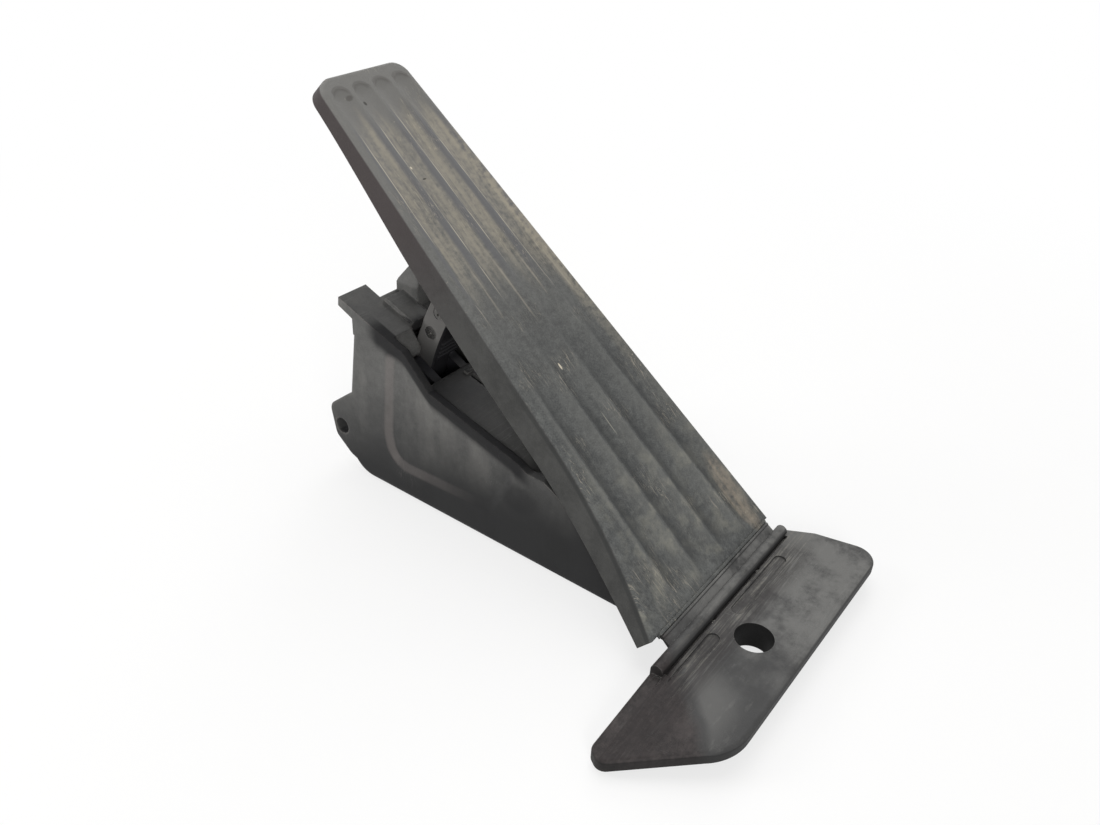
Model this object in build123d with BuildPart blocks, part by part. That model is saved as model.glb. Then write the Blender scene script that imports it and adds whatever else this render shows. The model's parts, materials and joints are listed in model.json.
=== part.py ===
from build123d import *
import os
from math import asin, atan2, cos, degrees, hypot, radians, sin, sqrt, tan

os.makedirs("parts", exist_ok=True)

# Floor-hinged accelerator pedal. Origin on the floor at the centre of the foot plate's
# fixing hole, +X to the driver's right, +Y towards the bulkhead, +Z up, millimetres.

# Hinge line and travel of the pedal
hinge_x = 14.5
hinge_y = 22.0
hinge_z = 13.5
pad_angle = 40.9
pad_travel = 12.0

# Pedal pad, measured in its own plane from the hinge line
pad_length = 214.5
pad_start = 1.2
pad_top_left = -19.4
pad_top_right = 20.6
pad_waist_left = -24.9
pad_waist_height = 72.0
pad_bottom_left = -40.0
pad_bottom_right = 40.3
pad_corner_radius = 6.0
pad_edge_radius = 1.2
pad_skin = 3.0
skirt_wall = 1.7
skirt_draft = 4.0
skirt_depth_top = 7.8
skirt_depth_mid = 13.2
skirt_depth_bottom = 8.4
pad_rib_depth = 3.4
pad_rib_wall = 1.6

# Flutes in the tread
flute_count = 4
flute_depth = 1.15
flute_top = 205.5
flute_bottom = 12.0
flute_top_pitch = 9.6
flute_bottom_pitch = 15.6
flute_top_centre = 0.9
flute_bottom_centre = 8.2
flute_land = 1.0

# Film hinge
film_gap = 0.3
film_thickness = 1.0
fold_radius = 0.7
lip_depth = 2.2
film_left = -36.5
film_right = 37.5

# Foot plate
foot_top = 10.5
foot_bottom = 6.2
foot_skin = 2.6
wing_thickness = 4.3
foot_lowest = 0.8
crease_radius = 9.0
foot_rim = 2.4
foot_rear = 19.3
foot_front = -17.0
foot_left = -69.0
foot_right = 68.5
foot_front_left = -45.0
foot_rear_right = 56.5
foot_hole_radius = 6.6
foot_boss_radius = 9.6
wing_slope = 8.6
bead_left = -33.0
bead_right = 55.5
bead_front = 15.0
bead_height = 2.6
bead_slot = 1.1
tread_recess = 0.7

# Housing shell
housing_width = 48.0
housing_shift = 1.2
housing_wall = 3.0
housing_corner = 12.0
rear_radius = 2.4
flange_width = 14.0
deck_step = 2.0
deck_width = 9.4
hump_round = 4.0
hump_inset = 4.4
hump_slope = 5.0
toe_length = 18.0
panel_recess = 1.3
panel_slope = 70
rim_width = 3.2
base_thickness = 2.6
fit_gap = 0.3

# Opening for the push arm in the housing's deck
mouth_lip = 10.1
mouth_depth = 10.6
mouth_throat = 4.6
mouth_step = 6.2
mouth_right = 33.0
mouth_swing = 20.0
arm_room = 0.9
deck_slot_length = 10.0
deck_slot_width = 2.2
deck_slot_depth = 1.7

# Rear mounting ears
ear_reach = 32.6
ear_z = 18.8
ear_hole_radius = 3.4
ear_thickness = 7.0

# Push arm under the pad: a flat bar curved about the hinge line, so that it runs through a close opening
arm_radius = 136.8
arm_elevation = 22.3
arm_width = 10.5
arm_thickness = 10.0
arm_end_gap = 0.8
arm_drop = 20.3
pin_radius = 2.6
lug_thickness = 4.0
lug_radius = 4.4
mark_radius = 2.6
mark_pitch = 10.4
web_reach = 7.5
web_wall = 2.4
web_low = -10.2
web_high = 9.0
rib_count = 4
rib_pitch = 2.3
rib_radius = 1.0

# Sensor lever
pivot_reach = 96.7
shaft_radius = 4.0
shaft_clearance = 0.05
hub_radius = 8.5
cheek_thickness = 4.0
side_gap = 0.4
fork_half_width = 7.0
slot_clearance = 0.5
spine_half_width = 4.5
spine_length = 27.0
dome_radius = 6.4
dome_reach = 20.0
dome_drop = 2.0
bush_wall = 1.6
bush_flange = 1.2
bush_flange_radius = 7.2
boss_wall = 2.6
boss_length = 6.3

# Return springs
outer_spring_radius = 4.4
outer_spring_wire = 1.4
outer_spring_turns = 4.0
inner_spring_radius = 2.5
inner_spring_wire = 0.9
inner_spring_turns = 5.0

# Sensor unit on the right wall
sensor_front = 102.0
sensor_rear = 150.0
sensor_low = 9.0
sensor_high = 38.0
sensor_depth = 12.2
sensor_wall = 2.0
seal_thickness = 0.8
board_thickness = 1.6
magnet_radius = 6.0
magnet_length = 4.0
air_gap = 1.4
socket_length = 17.0
socket_width = 10.4
socket_height = 22.0
socket_wall = 1.6
contact_count = 6
contact_pitch = 2.8
contact_size = 0.9

# Fasteners and stops
screw_radius = 1.5
screw_head_radius = 2.8
screw_head_height = 2.0
stop_radius = 5.0
stop_inset = 10.6
stop_rise = 3.06

# Shared positions worked out from the sizes above
tilt = radians(pad_angle)
press = radians(pad_travel)
hinge_point = (hinge_x, hinge_y, hinge_z)
pad_normal = (0, -sin(tilt), cos(tilt))
pad_plane = Plane(origin=hinge_point, x_dir=(1, 0, 0), z_dir=pad_normal)
pad_side = Plane(origin=hinge_point, x_dir=(0, cos(tilt), sin(tilt)), z_dir=(1, 0, 0))

arm_turn = radians(arm_elevation)
arm_y = hinge_y + arm_radius * cos(arm_turn)
arm_half = arm_thickness / 2
pin_depth = pad_skin + arm_width / 2 + arm_end_gap
pin_turn = tilt - asin(pin_depth / arm_radius)
drive_turn = arm_turn - arm_drop / arm_radius
mark_turn = mark_pitch / arm_radius
hinge_side = Plane(origin=hinge_point, x_dir=(0, 1, 0), z_dir=(1, 0, 0))

# The lever's pivot sits on the line halfway through the drive pin's swing about the hinge
middle_turn = drive_turn - press / 2
pivot_y = hinge_y + pivot_reach * cos(middle_turn)
pivot_z = hinge_z + pivot_reach * sin(middle_turn)
drive_y = hinge_y + arm_radius * cos(drive_turn)
drive_z = hinge_z + arm_radius * sin(drive_turn)
slot_start = arm_radius - pivot_reach
slot_end = hypot(drive_y - pivot_y, drive_z - pivot_z)
lever_turn = atan2(drive_z - pivot_z, drive_y - pivot_y)
lever_travel = 2 * (lever_turn - middle_turn)
lever_plane = Plane(
    origin=(hinge_x, pivot_y, pivot_z), x_dir=(0, cos(lever_turn), sin(lever_turn)), z_dir=(1, 0, 0)
)
pivot_side = Plane(origin=(0, pivot_y, pivot_z), x_dir=(0, 1, 0), z_dir=(1, 0, 0))

housing_left = hinge_x + housing_shift - housing_width / 2
housing_right = housing_left + housing_width
inner_left = housing_left + housing_wall
inner_right = housing_right - housing_wall
ear_y = arm_y + ear_reach
left_face = Plane.YZ.offset(housing_left)
right_face = Plane.YZ.offset(housing_right)

# Side outlines of the housing, rear to front: the wall's rim and the deck between the rims
rear_foot = arm_y + 29.9
rear_line = [(arm_y + 27.2, 36.7), (arm_y + 22.4, 71.7), (arm_y + 22.0, 74.4)]
rim_rear = [(arm_y + 7.4, 69.0), (arm_y - 2.6, 65.6), (arm_y - 14.6, 53.4)]
rim_line = [*rim_rear, (93.0, 41.6), (88.0, 39.0), (81.0, 39.0), (26.0, 9.0)]
deck_rear = [(arm_y + 6.4, 68.4), (arm_y + 3.4, 64.5), (arm_y - 5.6, 58.0), (arm_y - 8.6, 52.4)]
deck_line = [*deck_rear, (93.0, 38.9), (88.0, 36.4), (81.0, 36.4)]
toe_front = rim_line[-1][0]
deck_toe = (toe_front, rim_line[-1][1] - 2.6)
flange_line = [
    (arm_y + 4.4, 67.7),
    (arm_y + 29.2, 77.3),
    (arm_y + 29.6, 73.8),
    (arm_y + 22.6, 70.6),
    (arm_y + 22.6, 64.0),
    (arm_y + 4.4, 60.0),
]
base_front = toe_front + 7.0
base_rear = arm_y + 11.4
boss_radius = shaft_radius + bush_wall + boss_wall
left_boss_end = inner_left + boss_length
right_boss_end = inner_right - boss_length


# Pedal pad: fluted tread with a drafted skirt, lugs for the push arm and half of the film hinge
skirt_depth = skirt_depth_mid + 1.0
draft = tan(radians(skirt_draft))
pin_v = sqrt(arm_radius**2 - pin_depth**2)
pin_n = -pin_depth
lug_offset = arm_half + fit_gap + lug_thickness / 2

with BuildPart() as pedal_plate:
    # solid wedge first, then its hollow, each lofted between two drafted outlines
    for upper, lower, inset, mode in (
        (0, skirt_depth, 0, Mode.ADD),
        (pad_skin, skirt_depth + 1, skirt_wall, Mode.SUBTRACT),
    ):
        for depth in (upper, lower):
            grow = depth * draft - inset
            with BuildSketch(pad_plane.offset(-depth)) as outline:
                with BuildLine():
                    edge = Line((pad_top_left - grow, pad_length + grow), (pad_waist_left - grow, pad_waist_height))
                    TangentArc(edge @ 1, (pad_bottom_left - grow, pad_start), tangent=edge % 1)
                    Polyline(
                        (pad_bottom_left - grow, pad_start),
                        (pad_bottom_right + grow, pad_start),
                        (pad_top_right + grow, pad_length + grow),
                        (pad_top_left - grow, pad_length + grow),
                    )
                make_face()
                fillet(outline.vertices().group_by(Axis.Y)[-1], pad_corner_radius + grow)
        loft(ruled=True, mode=mode)
        if mode == Mode.ADD:
            tread = pedal_plate.faces().sort_by(Axis(hinge_point, pad_normal))[-1]
            fillet(tread.edges(), pad_edge_radius)
    # lower edge of the skirt
    with BuildSketch(pad_side):
        with BuildLine():
            Spline(
                (-12, -skirt_depth_bottom + 3),
                (24, -skirt_depth_mid + 1.8),
                (60, -skirt_depth_mid + 0.2),
                (105, -skirt_depth_mid),
                (152, -skirt_depth_mid + 1.7),
                (198, -skirt_depth_top),
                (pad_length + 12, -skirt_depth_top + 0.5),
            )
            Polyline(
                (pad_length + 12, -skirt_depth_top + 0.5),
                (pad_length + 12, -40),
                (-12, -40),
                (-12, -skirt_depth_bottom + 3),
            )
        make_face()
    extrude(amount=80, both=True, mode=Mode.SUBTRACT)
    # stiffening ribs behind the upper half of the tread
    with BuildSketch(pad_plane.offset(-pad_skin + 0.2)):
        for rib_u in (-10.0, 10.0):
            with Locations((rib_u, 193)):
                Rectangle(pad_rib_wall, 38)
        for rib_v in (150.0, 180.0):
            with Locations((0.6, rib_v)):
                Rectangle(41.5, pad_rib_wall)
    extrude(amount=-pad_rib_depth)
    # two lugs that hold the push arm's upper pin
    for side in (-1, 1):
        with BuildSketch(pad_side.offset(side * lug_offset)):
            with Locations((pin_v, pin_n)):
                Circle(lug_radius)
            with Locations((pin_v, (pin_n - pad_skin + 0.6) / 2)):
                Rectangle(2 * lug_radius, -pin_n - pad_skin + 0.6)
        extrude(amount=lug_thickness / 2, both=True)
    with BuildSketch(pad_side):
        with Locations((pin_v, pin_n)):
            Circle(pin_radius + shaft_clearance)
    extrude(amount=lug_offset + lug_thickness, both=True, mode=Mode.SUBTRACT)
    # lip that wraps round the film hinge's fold line
    with BuildSketch(pad_plane.offset(film_thickness / 2)):
        with Locations(((film_left + film_right) / 2, (pad_start + 0.8) / 2)):
            Rectangle(film_right - film_left, pad_start + 0.8)
    extrude(amount=-lip_depth)
    with BuildSketch(hinge_side):
        Circle(fold_radius + film_gap)
    extrude(amount=pad_bottom_right + 2, both=True, mode=Mode.SUBTRACT)
    # flutes: shallow round-ended cones fanning out towards the foot, each turned about an axis above the tread
    for flute in range(flute_count):
        step = flute - (flute_count - 1) / 2
        upper_half = (flute_top_pitch - flute_land) / 2
        lower_half = (flute_bottom_pitch - flute_land) / 2
        upper_radius = (upper_half**2 + flute_depth**2) / (2 * flute_depth)
        lower_radius = (lower_half**2 + flute_depth**2) / (2 * flute_depth)
        upper = (flute_top_centre + step * flute_top_pitch, flute_top, upper_radius - flute_depth)
        lower = (flute_bottom_centre + step * flute_bottom_pitch, flute_bottom, lower_radius - flute_depth)
        flute_axis = pad_plane.from_local_coords(lower) - pad_plane.from_local_coords(upper)
        flute_side = Vector(1, 0, 0).cross(flute_axis)
        flute_plane = Plane(
            origin=pad_plane.from_local_coords(upper),
            x_dir=flute_axis,
            z_dir=flute_axis.cross(-flute_side),
        )
        reach = flute_axis.length
        with BuildSketch(flute_plane):
            with BuildLine():
                flank = Line((0, upper_radius), (reach, lower_radius))
                TangentArc(flank @ 1, (reach + 0.8 * lower_radius, 0.6 * lower_radius), tangent=flank % 1)
                Polyline(
                    (reach + 0.8 * lower_radius, 0.6 * lower_radius),
                    (reach + 0.8 * lower_radius, 0),
                    (-0.8 * upper_radius, 0),
                    (-0.8 * upper_radius, 0.6 * upper_radius),
                )
                TangentArc(flank @ 0, (-0.8 * upper_radius, 0.6 * upper_radius), tangent=(flank % 0) * -1)
            make_face()
        revolve(axis=Axis(flute_plane.origin, flute_axis), mode=Mode.SUBTRACT)
pedal_plate.part.label = "pedal_plate"
export_step(pedal_plate.part, "parts/pedal_plate.step")


# Push arm: curved flat bar with rounded ends, pin holes and two countersunk screw seats in its left face
upper_pin = (arm_radius * cos(pin_turn), arm_radius * sin(pin_turn))
lower_pin = (arm_radius * cos(drive_turn), arm_radius * sin(drive_turn))
screw_turns = (arm_turn, arm_turn + mark_turn)
screw_points = [(arm_radius * cos(turn), arm_radius * sin(turn)) for turn in screw_turns]
web_front = arm_radius - arm_width / 2
web_start = arm_turn + web_low / arm_radius
web_turn = (web_high - web_low) / arm_radius
with BuildPart() as push_arm:
    with BuildSketch(hinge_side):
        with BuildLine(mode=Mode.PRIVATE) as arm_line:
            CenterArc((0, 0), arm_radius, degrees(drive_turn), degrees(pin_turn - drive_turn))
        SlotArc(arm_line.edge(), arm_width)
    extrude(amount=arm_half, both=True)
    side_edges = push_arm.faces().filter_by(Axis.X).edges()
    chamfer(side_edges, 0.6)
    # web along the front of the bar, with cross ribs at its lower end
    with BuildSketch(hinge_side.offset(-arm_half + 0.8)):
        for rib in range(rib_count):
            rib_turn = arm_turn + (web_low + rib_radius + rib * rib_pitch) / arm_radius
            with Locations((web_front * cos(rib_turn), web_front * sin(rib_turn))):
                Circle(rib_radius)
    extrude(amount=arm_thickness - 0.8 + web_reach)
    with BuildSketch(hinge_side):
        with BuildLine():
            outer_web = CenterArc((0, 0), web_front + web_wall, degrees(web_start), degrees(web_turn))
            inner_web = CenterArc((0, 0), web_front, degrees(web_start), degrees(web_turn))
            Line(outer_web @ 0, inner_web @ 0)
            Line(outer_web @ 1, inner_web @ 1)
        make_face()
    extrude(amount=arm_half + web_reach)
    with BuildSketch(hinge_side):
        with Locations(upper_pin, lower_pin):
            Circle(pin_radius + shaft_clearance)
    extrude(amount=arm_thickness, both=True, mode=Mode.SUBTRACT)
    with BuildSketch(hinge_side.offset(-arm_half)):
        with Locations(*screw_points):
            Circle(mark_radius + shaft_clearance)
    extrude(amount=screw_head_height, mode=Mode.SUBTRACT)
    with BuildSketch(hinge_side.offset(-arm_half)):
        with Locations(*screw_points):
            Circle(screw_radius + shaft_clearance)
    extrude(amount=arm_thickness - 1.5, mode=Mode.SUBTRACT)
push_arm.part.label = "push_arm"
export_step(push_arm.part, "parts/push_arm.step")

# Two cross-recess screws let into the arm's left face
with BuildPart() as arm_screws:
    with BuildSketch(hinge_side.offset(-arm_half + 0.2)):
        with Locations(*screw_points):
            Circle(mark_radius)
    extrude(amount=screw_head_height - 0.2)
    with BuildSketch(hinge_side.offset(-arm_half + screw_head_height)):
        with Locations(*screw_points):
            Circle(screw_radius)
    extrude(amount=arm_thickness - 4.0)
    with BuildSketch(hinge_side.offset(-arm_half)):
        with Locations(*screw_points):
            Rectangle(3.2, 0.9, rotation=40)
            Rectangle(0.9, 3.2, rotation=40)
    extrude(amount=1.2, mode=Mode.SUBTRACT)
arm_screws.part.label = "arm_screws"
export_step(arm_screws.part, "parts/arm_screws.step")

# Upper pin, headed at the left and grooved for a clip at the right
arm_pin_end = lug_offset + lug_thickness / 2
with BuildPart() as arm_pin:
    with BuildSketch(hinge_side.offset(-arm_pin_end)):
        with Locations(upper_pin):
            Circle(pin_radius)
    extrude(amount=2 * arm_pin_end + 3)
    with BuildSketch(hinge_side.offset(-arm_pin_end - 1.6)):
        with Locations(upper_pin):
            Circle(pin_radius + 1.4)
    extrude(amount=1.6)
    with BuildSketch(hinge_side.offset(arm_pin_end + 0.3)):
        with Locations(upper_pin):
            Circle(pin_radius)
            Circle(pin_radius - 0.7, mode=Mode.SUBTRACT)
    extrude(amount=1.0, mode=Mode.SUBTRACT)
arm_pin.part.label = "arm_pin"
export_step(arm_pin.part, "parts/arm_pin.step")

# Open clip in the upper pin's groove
with BuildPart() as pin_clip:
    with BuildSketch(hinge_side.offset(arm_pin_end + 0.4)):
        with Locations(upper_pin):
            Circle(pin_radius + 1.6)
            Circle(pin_radius - 0.6, mode=Mode.SUBTRACT)
        with Locations((upper_pin[0] + pin_radius + 1, upper_pin[1])):
            Rectangle(2 * pin_radius, 2 * pin_radius - 2, mode=Mode.SUBTRACT)
    extrude(amount=0.8)
pin_clip.part.label = "pin_clip"
export_step(pin_clip.part, "parts/pin_clip.step")

# Lower pin that drives the lever's fork
drive_half = arm_half + side_gap + cheek_thickness + 0.6
with BuildPart() as drive_pin:
    with BuildSketch(hinge_side):
        with Locations(lower_pin):
            Circle(pin_radius)
    extrude(amount=drive_half, both=True)
    chamfer(drive_pin.edges().filter_by(GeomType.CIRCLE), 0.4)
drive_pin.part.label = "drive_pin"
export_step(drive_pin.part, "parts/drive_pin.step")


# Sensor lever: hub on the shaft, two slotted cheeks and a dome that bears on the springs
left_thrust = left_boss_end + bush_flange + side_gap
right_thrust = right_boss_end - bush_flange - side_gap
cheek_inner = arm_half + side_gap
cheek_outer = cheek_inner + cheek_thickness
fork_tip = slot_end + pin_radius + slot_clearance + 2.6
slot_length = slot_end - slot_start
dome_local = (dome_reach, -dome_drop, 0)
dome_centre = lever_plane.from_local_coords(dome_local)

with BuildPart() as sensor_lever:
    with BuildSketch(Plane.YZ.offset(left_thrust)):
        with Locations((pivot_y, pivot_z)):
            Circle(hub_radius)
    extrude(amount=right_thrust - left_thrust)
    for side in (-1, 1):
        with BuildSketch(lever_plane.offset(side * (cheek_inner + cheek_thickness / 2))):
            with BuildLine():
                Polyline(
                    (0, -hub_radius + 1.5),
                    (slot_start - 6, -fork_half_width),
                    (fork_tip - 3, -fork_half_width),
                    (fork_tip, -fork_half_width + 3),
                    (fork_tip, fork_half_width - 3),
                    (fork_tip - 3, fork_half_width),
                    (slot_start - 6, fork_half_width),
                    (0, hub_radius - 1.5),
                    close=True,
                )
            make_face()
        extrude(amount=cheek_thickness / 2, both=True)
    with BuildSketch(lever_plane):
        with Locations((spine_length / 2, 0)):
            Rectangle(spine_length, 2 * spine_half_width)
    extrude(amount=cheek_inner + 0.5, both=True)
    with BuildSketch(lever_plane):
        with Locations(((slot_start + slot_end) / 2, 0)):
            SlotCenterToCenter(slot_length + 2 * slot_clearance, 2 * (pin_radius + slot_clearance))
    extrude(amount=cheek_outer + 1, both=True, mode=Mode.SUBTRACT)
    with Locations(Plane(origin=dome_centre, x_dir=(1, 0, 0), z_dir=lever_plane.y_dir)):
        Sphere(dome_radius, arc_size1=-90, arc_size2=15)
    with BuildSketch(Plane.YZ.offset(left_thrust)):
        with Locations((pivot_y, pivot_z)):
            Circle(shaft_radius + shaft_clearance)
    extrude(amount=right_thrust - left_thrust, mode=Mode.SUBTRACT)
sensor_lever.part.label = "sensor_lever"
export_step(sensor_lever.part, "parts/sensor_lever.step")

# Shaft through both bushes, with the magnet on its right end
magnet_left = housing_right + 1.6
with BuildPart() as lever_shaft:
    with BuildSketch(Plane.YZ.offset(inner_left + 1.4)):
        with Locations((pivot_y, pivot_z)):
            Circle(shaft_radius)
    extrude(amount=magnet_left - inner_left - 1.4)
    chamfer(lever_shaft.edges().filter_by(GeomType.CIRCLE), 0.4)
lever_shaft.part.label = "lever_shaft"
export_step(lever_shaft.part, "parts/lever_shaft.step")

with BuildPart() as magnet:
    with BuildSketch(Plane.YZ.offset(magnet_left)):
        with Locations((pivot_y, pivot_z)):
            Circle(magnet_radius)
    extrude(amount=magnet_length)
    chamfer(magnet.edges(), 0.3)
magnet.part.label = "magnet"
export_step(magnet.part, "parts/magnet.step")

# Flanged bushes pressed into the bosses
bush_outer = shaft_radius + bush_wall
with BuildPart() as bush_left:
    with BuildSketch(Plane.YZ.offset(left_boss_end - boss_length + 1.0)):
        with Locations((pivot_y, pivot_z)):
            Circle(bush_outer)
    extrude(amount=boss_length - 1.0)
    with BuildSketch(Plane.YZ.offset(left_boss_end)):
        with Locations((pivot_y, pivot_z)):
            Circle(bush_flange_radius)
    extrude(amount=bush_flange)
    with BuildSketch(Plane.YZ.offset(left_boss_end - boss_length)):
        with Locations((pivot_y, pivot_z)):
            Circle(shaft_radius + shaft_clearance)
    extrude(amount=boss_length + 3, mode=Mode.SUBTRACT)
bush_left.part.label = "bush_left"
export_step(bush_left.part, "parts/bush_left.step")

with BuildPart() as bush_right:
    with BuildSketch(Plane.YZ.offset(right_boss_end)):
        with Locations((pivot_y, pivot_z)):
            Circle(bush_outer)
    extrude(amount=boss_length + housing_wall - 0.3)
    with BuildSketch(Plane.YZ.offset(right_boss_end - bush_flange)):
        with Locations((pivot_y, pivot_z)):
            Circle(bush_flange_radius)
    extrude(amount=bush_flange)
    with BuildSketch(Plane.YZ.offset(right_boss_end - 3)):
        with Locations((pivot_y, pivot_z)):
            Circle(shaft_radius + shaft_clearance)
    extrude(amount=boss_length + housing_wall + 4, mode=Mode.SUBTRACT)
bush_right.part.label = "bush_right"
export_step(bush_right.part, "parts/bush_right.step")


# Foot plate: dished plate with a fixing hole, a bead along its rear edge and the other film half
wing_edge = Vector(17.5, 18.2, 0).normalized()
wing_out = Vector(-wing_edge.Y, wing_edge.X, 0)
wing_turn = radians(wing_slope)
wing_plane = Plane(
    origin=(-33.4, 7.7, foot_top),
    x_dir=(wing_edge.X, wing_edge.Y, 0),
    z_dir=(wing_out.X * sin(wing_turn), wing_out.Y * sin(wing_turn), cos(wing_turn)),
)
toe_screw_points = [(housing_left + 8, 13.8), (housing_right - 8, 13.8)]
foot_corners = [
    (foot_left + 3.5, foot_rear, 3.5),
    (foot_rear_right, foot_rear, 3.0),
    (63.2, 7.0, 4.0),
    (foot_right, foot_front, 7.5),
    (foot_front_left, foot_front, 19.0),
    (foot_left, 14.0, 4.0),
]

# Space under the plate: below its flat part and, further left, below the sloping wing
with BuildPart() as foot_space:
    with BuildSketch(Plane.XY):
        with Locations(((foot_left + foot_right) / 2, (foot_front + foot_rear) / 2)):
            Rectangle(foot_right - foot_left + 10, foot_rear - foot_front + 10)
    extrude(amount=foot_bottom)
    split(bisect_by=wing_plane.offset(-wing_thickness), keep=Keep.BOTTOM)

with BuildPart() as foot_plate:
    with BuildSketch(Plane.XY.offset(foot_lowest)) as foot_outline:
        with BuildLine():
            FilletPolyline(*[c[:2] for c in foot_corners], radius=[c[2] for c in foot_corners], close=True)
        make_face()
    extrude(amount=foot_top - foot_lowest)
    split(bisect_by=wing_plane, keep=Keep.BOTTOM)
    crease = foot_plate.edges().filter_by(Axis(wing_plane.origin, wing_plane.x_dir)).sort_by(Axis.Z)[-1]
    fillet(crease, crease_radius)
    upper_edges = foot_plate.faces().filter_by(lambda f: f.normal_at().Z > 0.9).edges()
    outer_edges = upper_edges.filter_by(lambda e: len(upper_edges.filter_by(lambda o: o.is_same(e))) == 1)
    fillet(outer_edges, 1.5)
    add(foot_space.part, mode=Mode.SUBTRACT)
    # hollow underside inside a rim, with a boss round the hole and ribs
    with BuildSketch(Plane.XY.offset(foot_bottom - 0.5)):
        with BuildLine():
            FilletPolyline(*[c[:2] for c in foot_corners], radius=[c[2] for c in foot_corners], close=True)
        make_face()
        offset(amount=-foot_rim, mode=Mode.REPLACE)
        with Locations((-54, 4)):
            Rectangle(42, 60, mode=Mode.SUBTRACT)
    extrude(amount=foot_top - foot_skin - foot_bottom + 0.5, mode=Mode.SUBTRACT)
    with BuildSketch(Plane.XY.offset(foot_bottom)):
        for rib_x in (-22, 22, 44):
            with Locations((rib_x, 1)):
                Rectangle(1.8, 33)
        with Locations((16, 1)):
            Rectangle(95, 1.8)
        with Locations(*toe_screw_points):
            Circle(4.2)
    extrude(amount=foot_top - foot_skin - foot_bottom + 0.2)
    with BuildSketch(Plane.XY):
        Circle(foot_boss_radius)
    extrude(amount=foot_top - 1)
    # bead with a slot in front of it, and two shallow recesses in the tread
    with BuildSketch(Plane.YZ.offset(bead_left)):
        with BuildLine():
            Polyline((foot_rear, foot_top - 3), (bead_front, foot_top - 3), (bead_front, foot_top))
            ThreePointArc(
                (bead_front, foot_top),
                ((bead_front + foot_rear) / 2, foot_top + bead_height),
                (foot_rear, foot_top + 0.6),
            )
            Line((foot_rear, foot_top + 0.6), (foot_rear, foot_top - 3))
        make_face()
    extrude(amount=bead_right - bead_left)
    with BuildSketch(Plane.XY.offset(foot_top - 1.4)):
        with Locations(((bead_left + bead_right) / 2, bead_front - bead_slot / 2)):
            Rectangle(bead_right - bead_left - 3, bead_slot)
        with Locations((bead_left - 2.6, bead_front + 1)):
            SlotOverall(5.0, 2.4)
    extrude(amount=4, mode=Mode.SUBTRACT)
    with BuildSketch(Plane.XY.offset(foot_top - tread_recess)):
        for recess_left, recess_right in ((-39, -6.5), (6, 42.6)):
            with Locations(((recess_left + recess_right) / 2, 10.4)):
                SlotOverall(recess_right - recess_left, 4.4)
    extrude(amount=4, mode=Mode.SUBTRACT)
    # film and its fold line, let into the rear of the bead
    with BuildSketch(hinge_side.offset(film_left)):
        with BuildLine():
            Polyline(
                (foot_rear - hinge_y - 1, foot_top - hinge_z - 1),
                (0, -film_thickness / 2),
                (0, film_thickness / 2),
                (foot_rear - hinge_y - 1, foot_top - hinge_z + film_thickness),
                close=True,
            )
        make_face()
        Circle(fold_radius)
    extrude(amount=film_right - film_left)
    with BuildSketch(Plane.XY.offset(-1)):
        Circle(foot_hole_radius)
    extrude(amount=foot_top + 4, mode=Mode.SUBTRACT)
    with BuildSketch(Plane.XY.offset(foot_bottom - 1)):
        with Locations(*toe_screw_points):
            Circle(screw_radius + shaft_clearance)
    extrude(amount=foot_top - foot_bottom - 0.4, mode=Mode.SUBTRACT)
foot_plate.part.label = "foot_plate"
export_step(foot_plate.part, "parts/foot_plate.step")


# Housing: one moulding with rims, recessed deck, flange, hump, rear ears, toe tongue and inner bosses
base_points = [
    (inner_left + 4, base_front + 6),
    (inner_right - 4, base_front + 6),
    (inner_left + 4, base_rear - 6),
    (inner_right - 4, base_rear - 6),
]
cover_points = [
    (sensor_front + 4.2, sensor_low + 4.2),
    (sensor_rear - 4.2, sensor_low + 4.2),
    (sensor_front + 4.2, sensor_high - 4.2),
    (sensor_rear - 4.2, sensor_high - 4.2),
]
stop_x = housing_right - stop_inset
stop_y = arm_y + 16.4
stop_slope = tan(tilt - press)
stop_top = hinge_z + (stop_y - stop_radius - hinge_y) * stop_slope - (pad_skin + 0.5) / cos(tilt - press)
hump_top = stop_top - stop_rise
hump_line = [
    (arm_y + 11.0, 64.0),
    (arm_y + 11.6, hump_top - hump_round),
    (arm_y + 14.6, hump_top),
    (arm_y + 20.4, hump_top),
    (arm_y + 22.2, hump_top - hump_round),
    (arm_y + 22.4, 64.0),
]
deck_rise = (deck_line[3][1] - deck_line[4][1]) / (deck_line[3][0] - deck_line[4][0])
deck_slot_y = arm_y - 13.2
deck_plane = Plane(
    origin=(hinge_x + 1.2, deck_slot_y, deck_line[4][1] + (deck_slot_y - deck_line[4][0]) * deck_rise),
    x_dir=(1, 0, 0),
    z_dir=(0, -deck_rise, 1),
)
stop_low = hump_top - 2.6
middle_left = housing_left + flange_width
mouth_left = housing_left + rim_width
panel_line = [
    (arm_y + 6.0, rim_line[0][1] - 2.6, 5.0),
    (arm_y + 9.0, 26.0, 12.0),
    (arm_y + 6.4, 11.6, 11.0),
    (104.0, 13.4, 8.0),
    (91.0, rim_line[3][1] - 4.0, 5.0),
    (arm_y - 14.6, rim_line[2][1] - 2.4, 6.0),
    (arm_y - 2.6, rim_line[1][1] - 2.7, 5.0),
]

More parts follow.
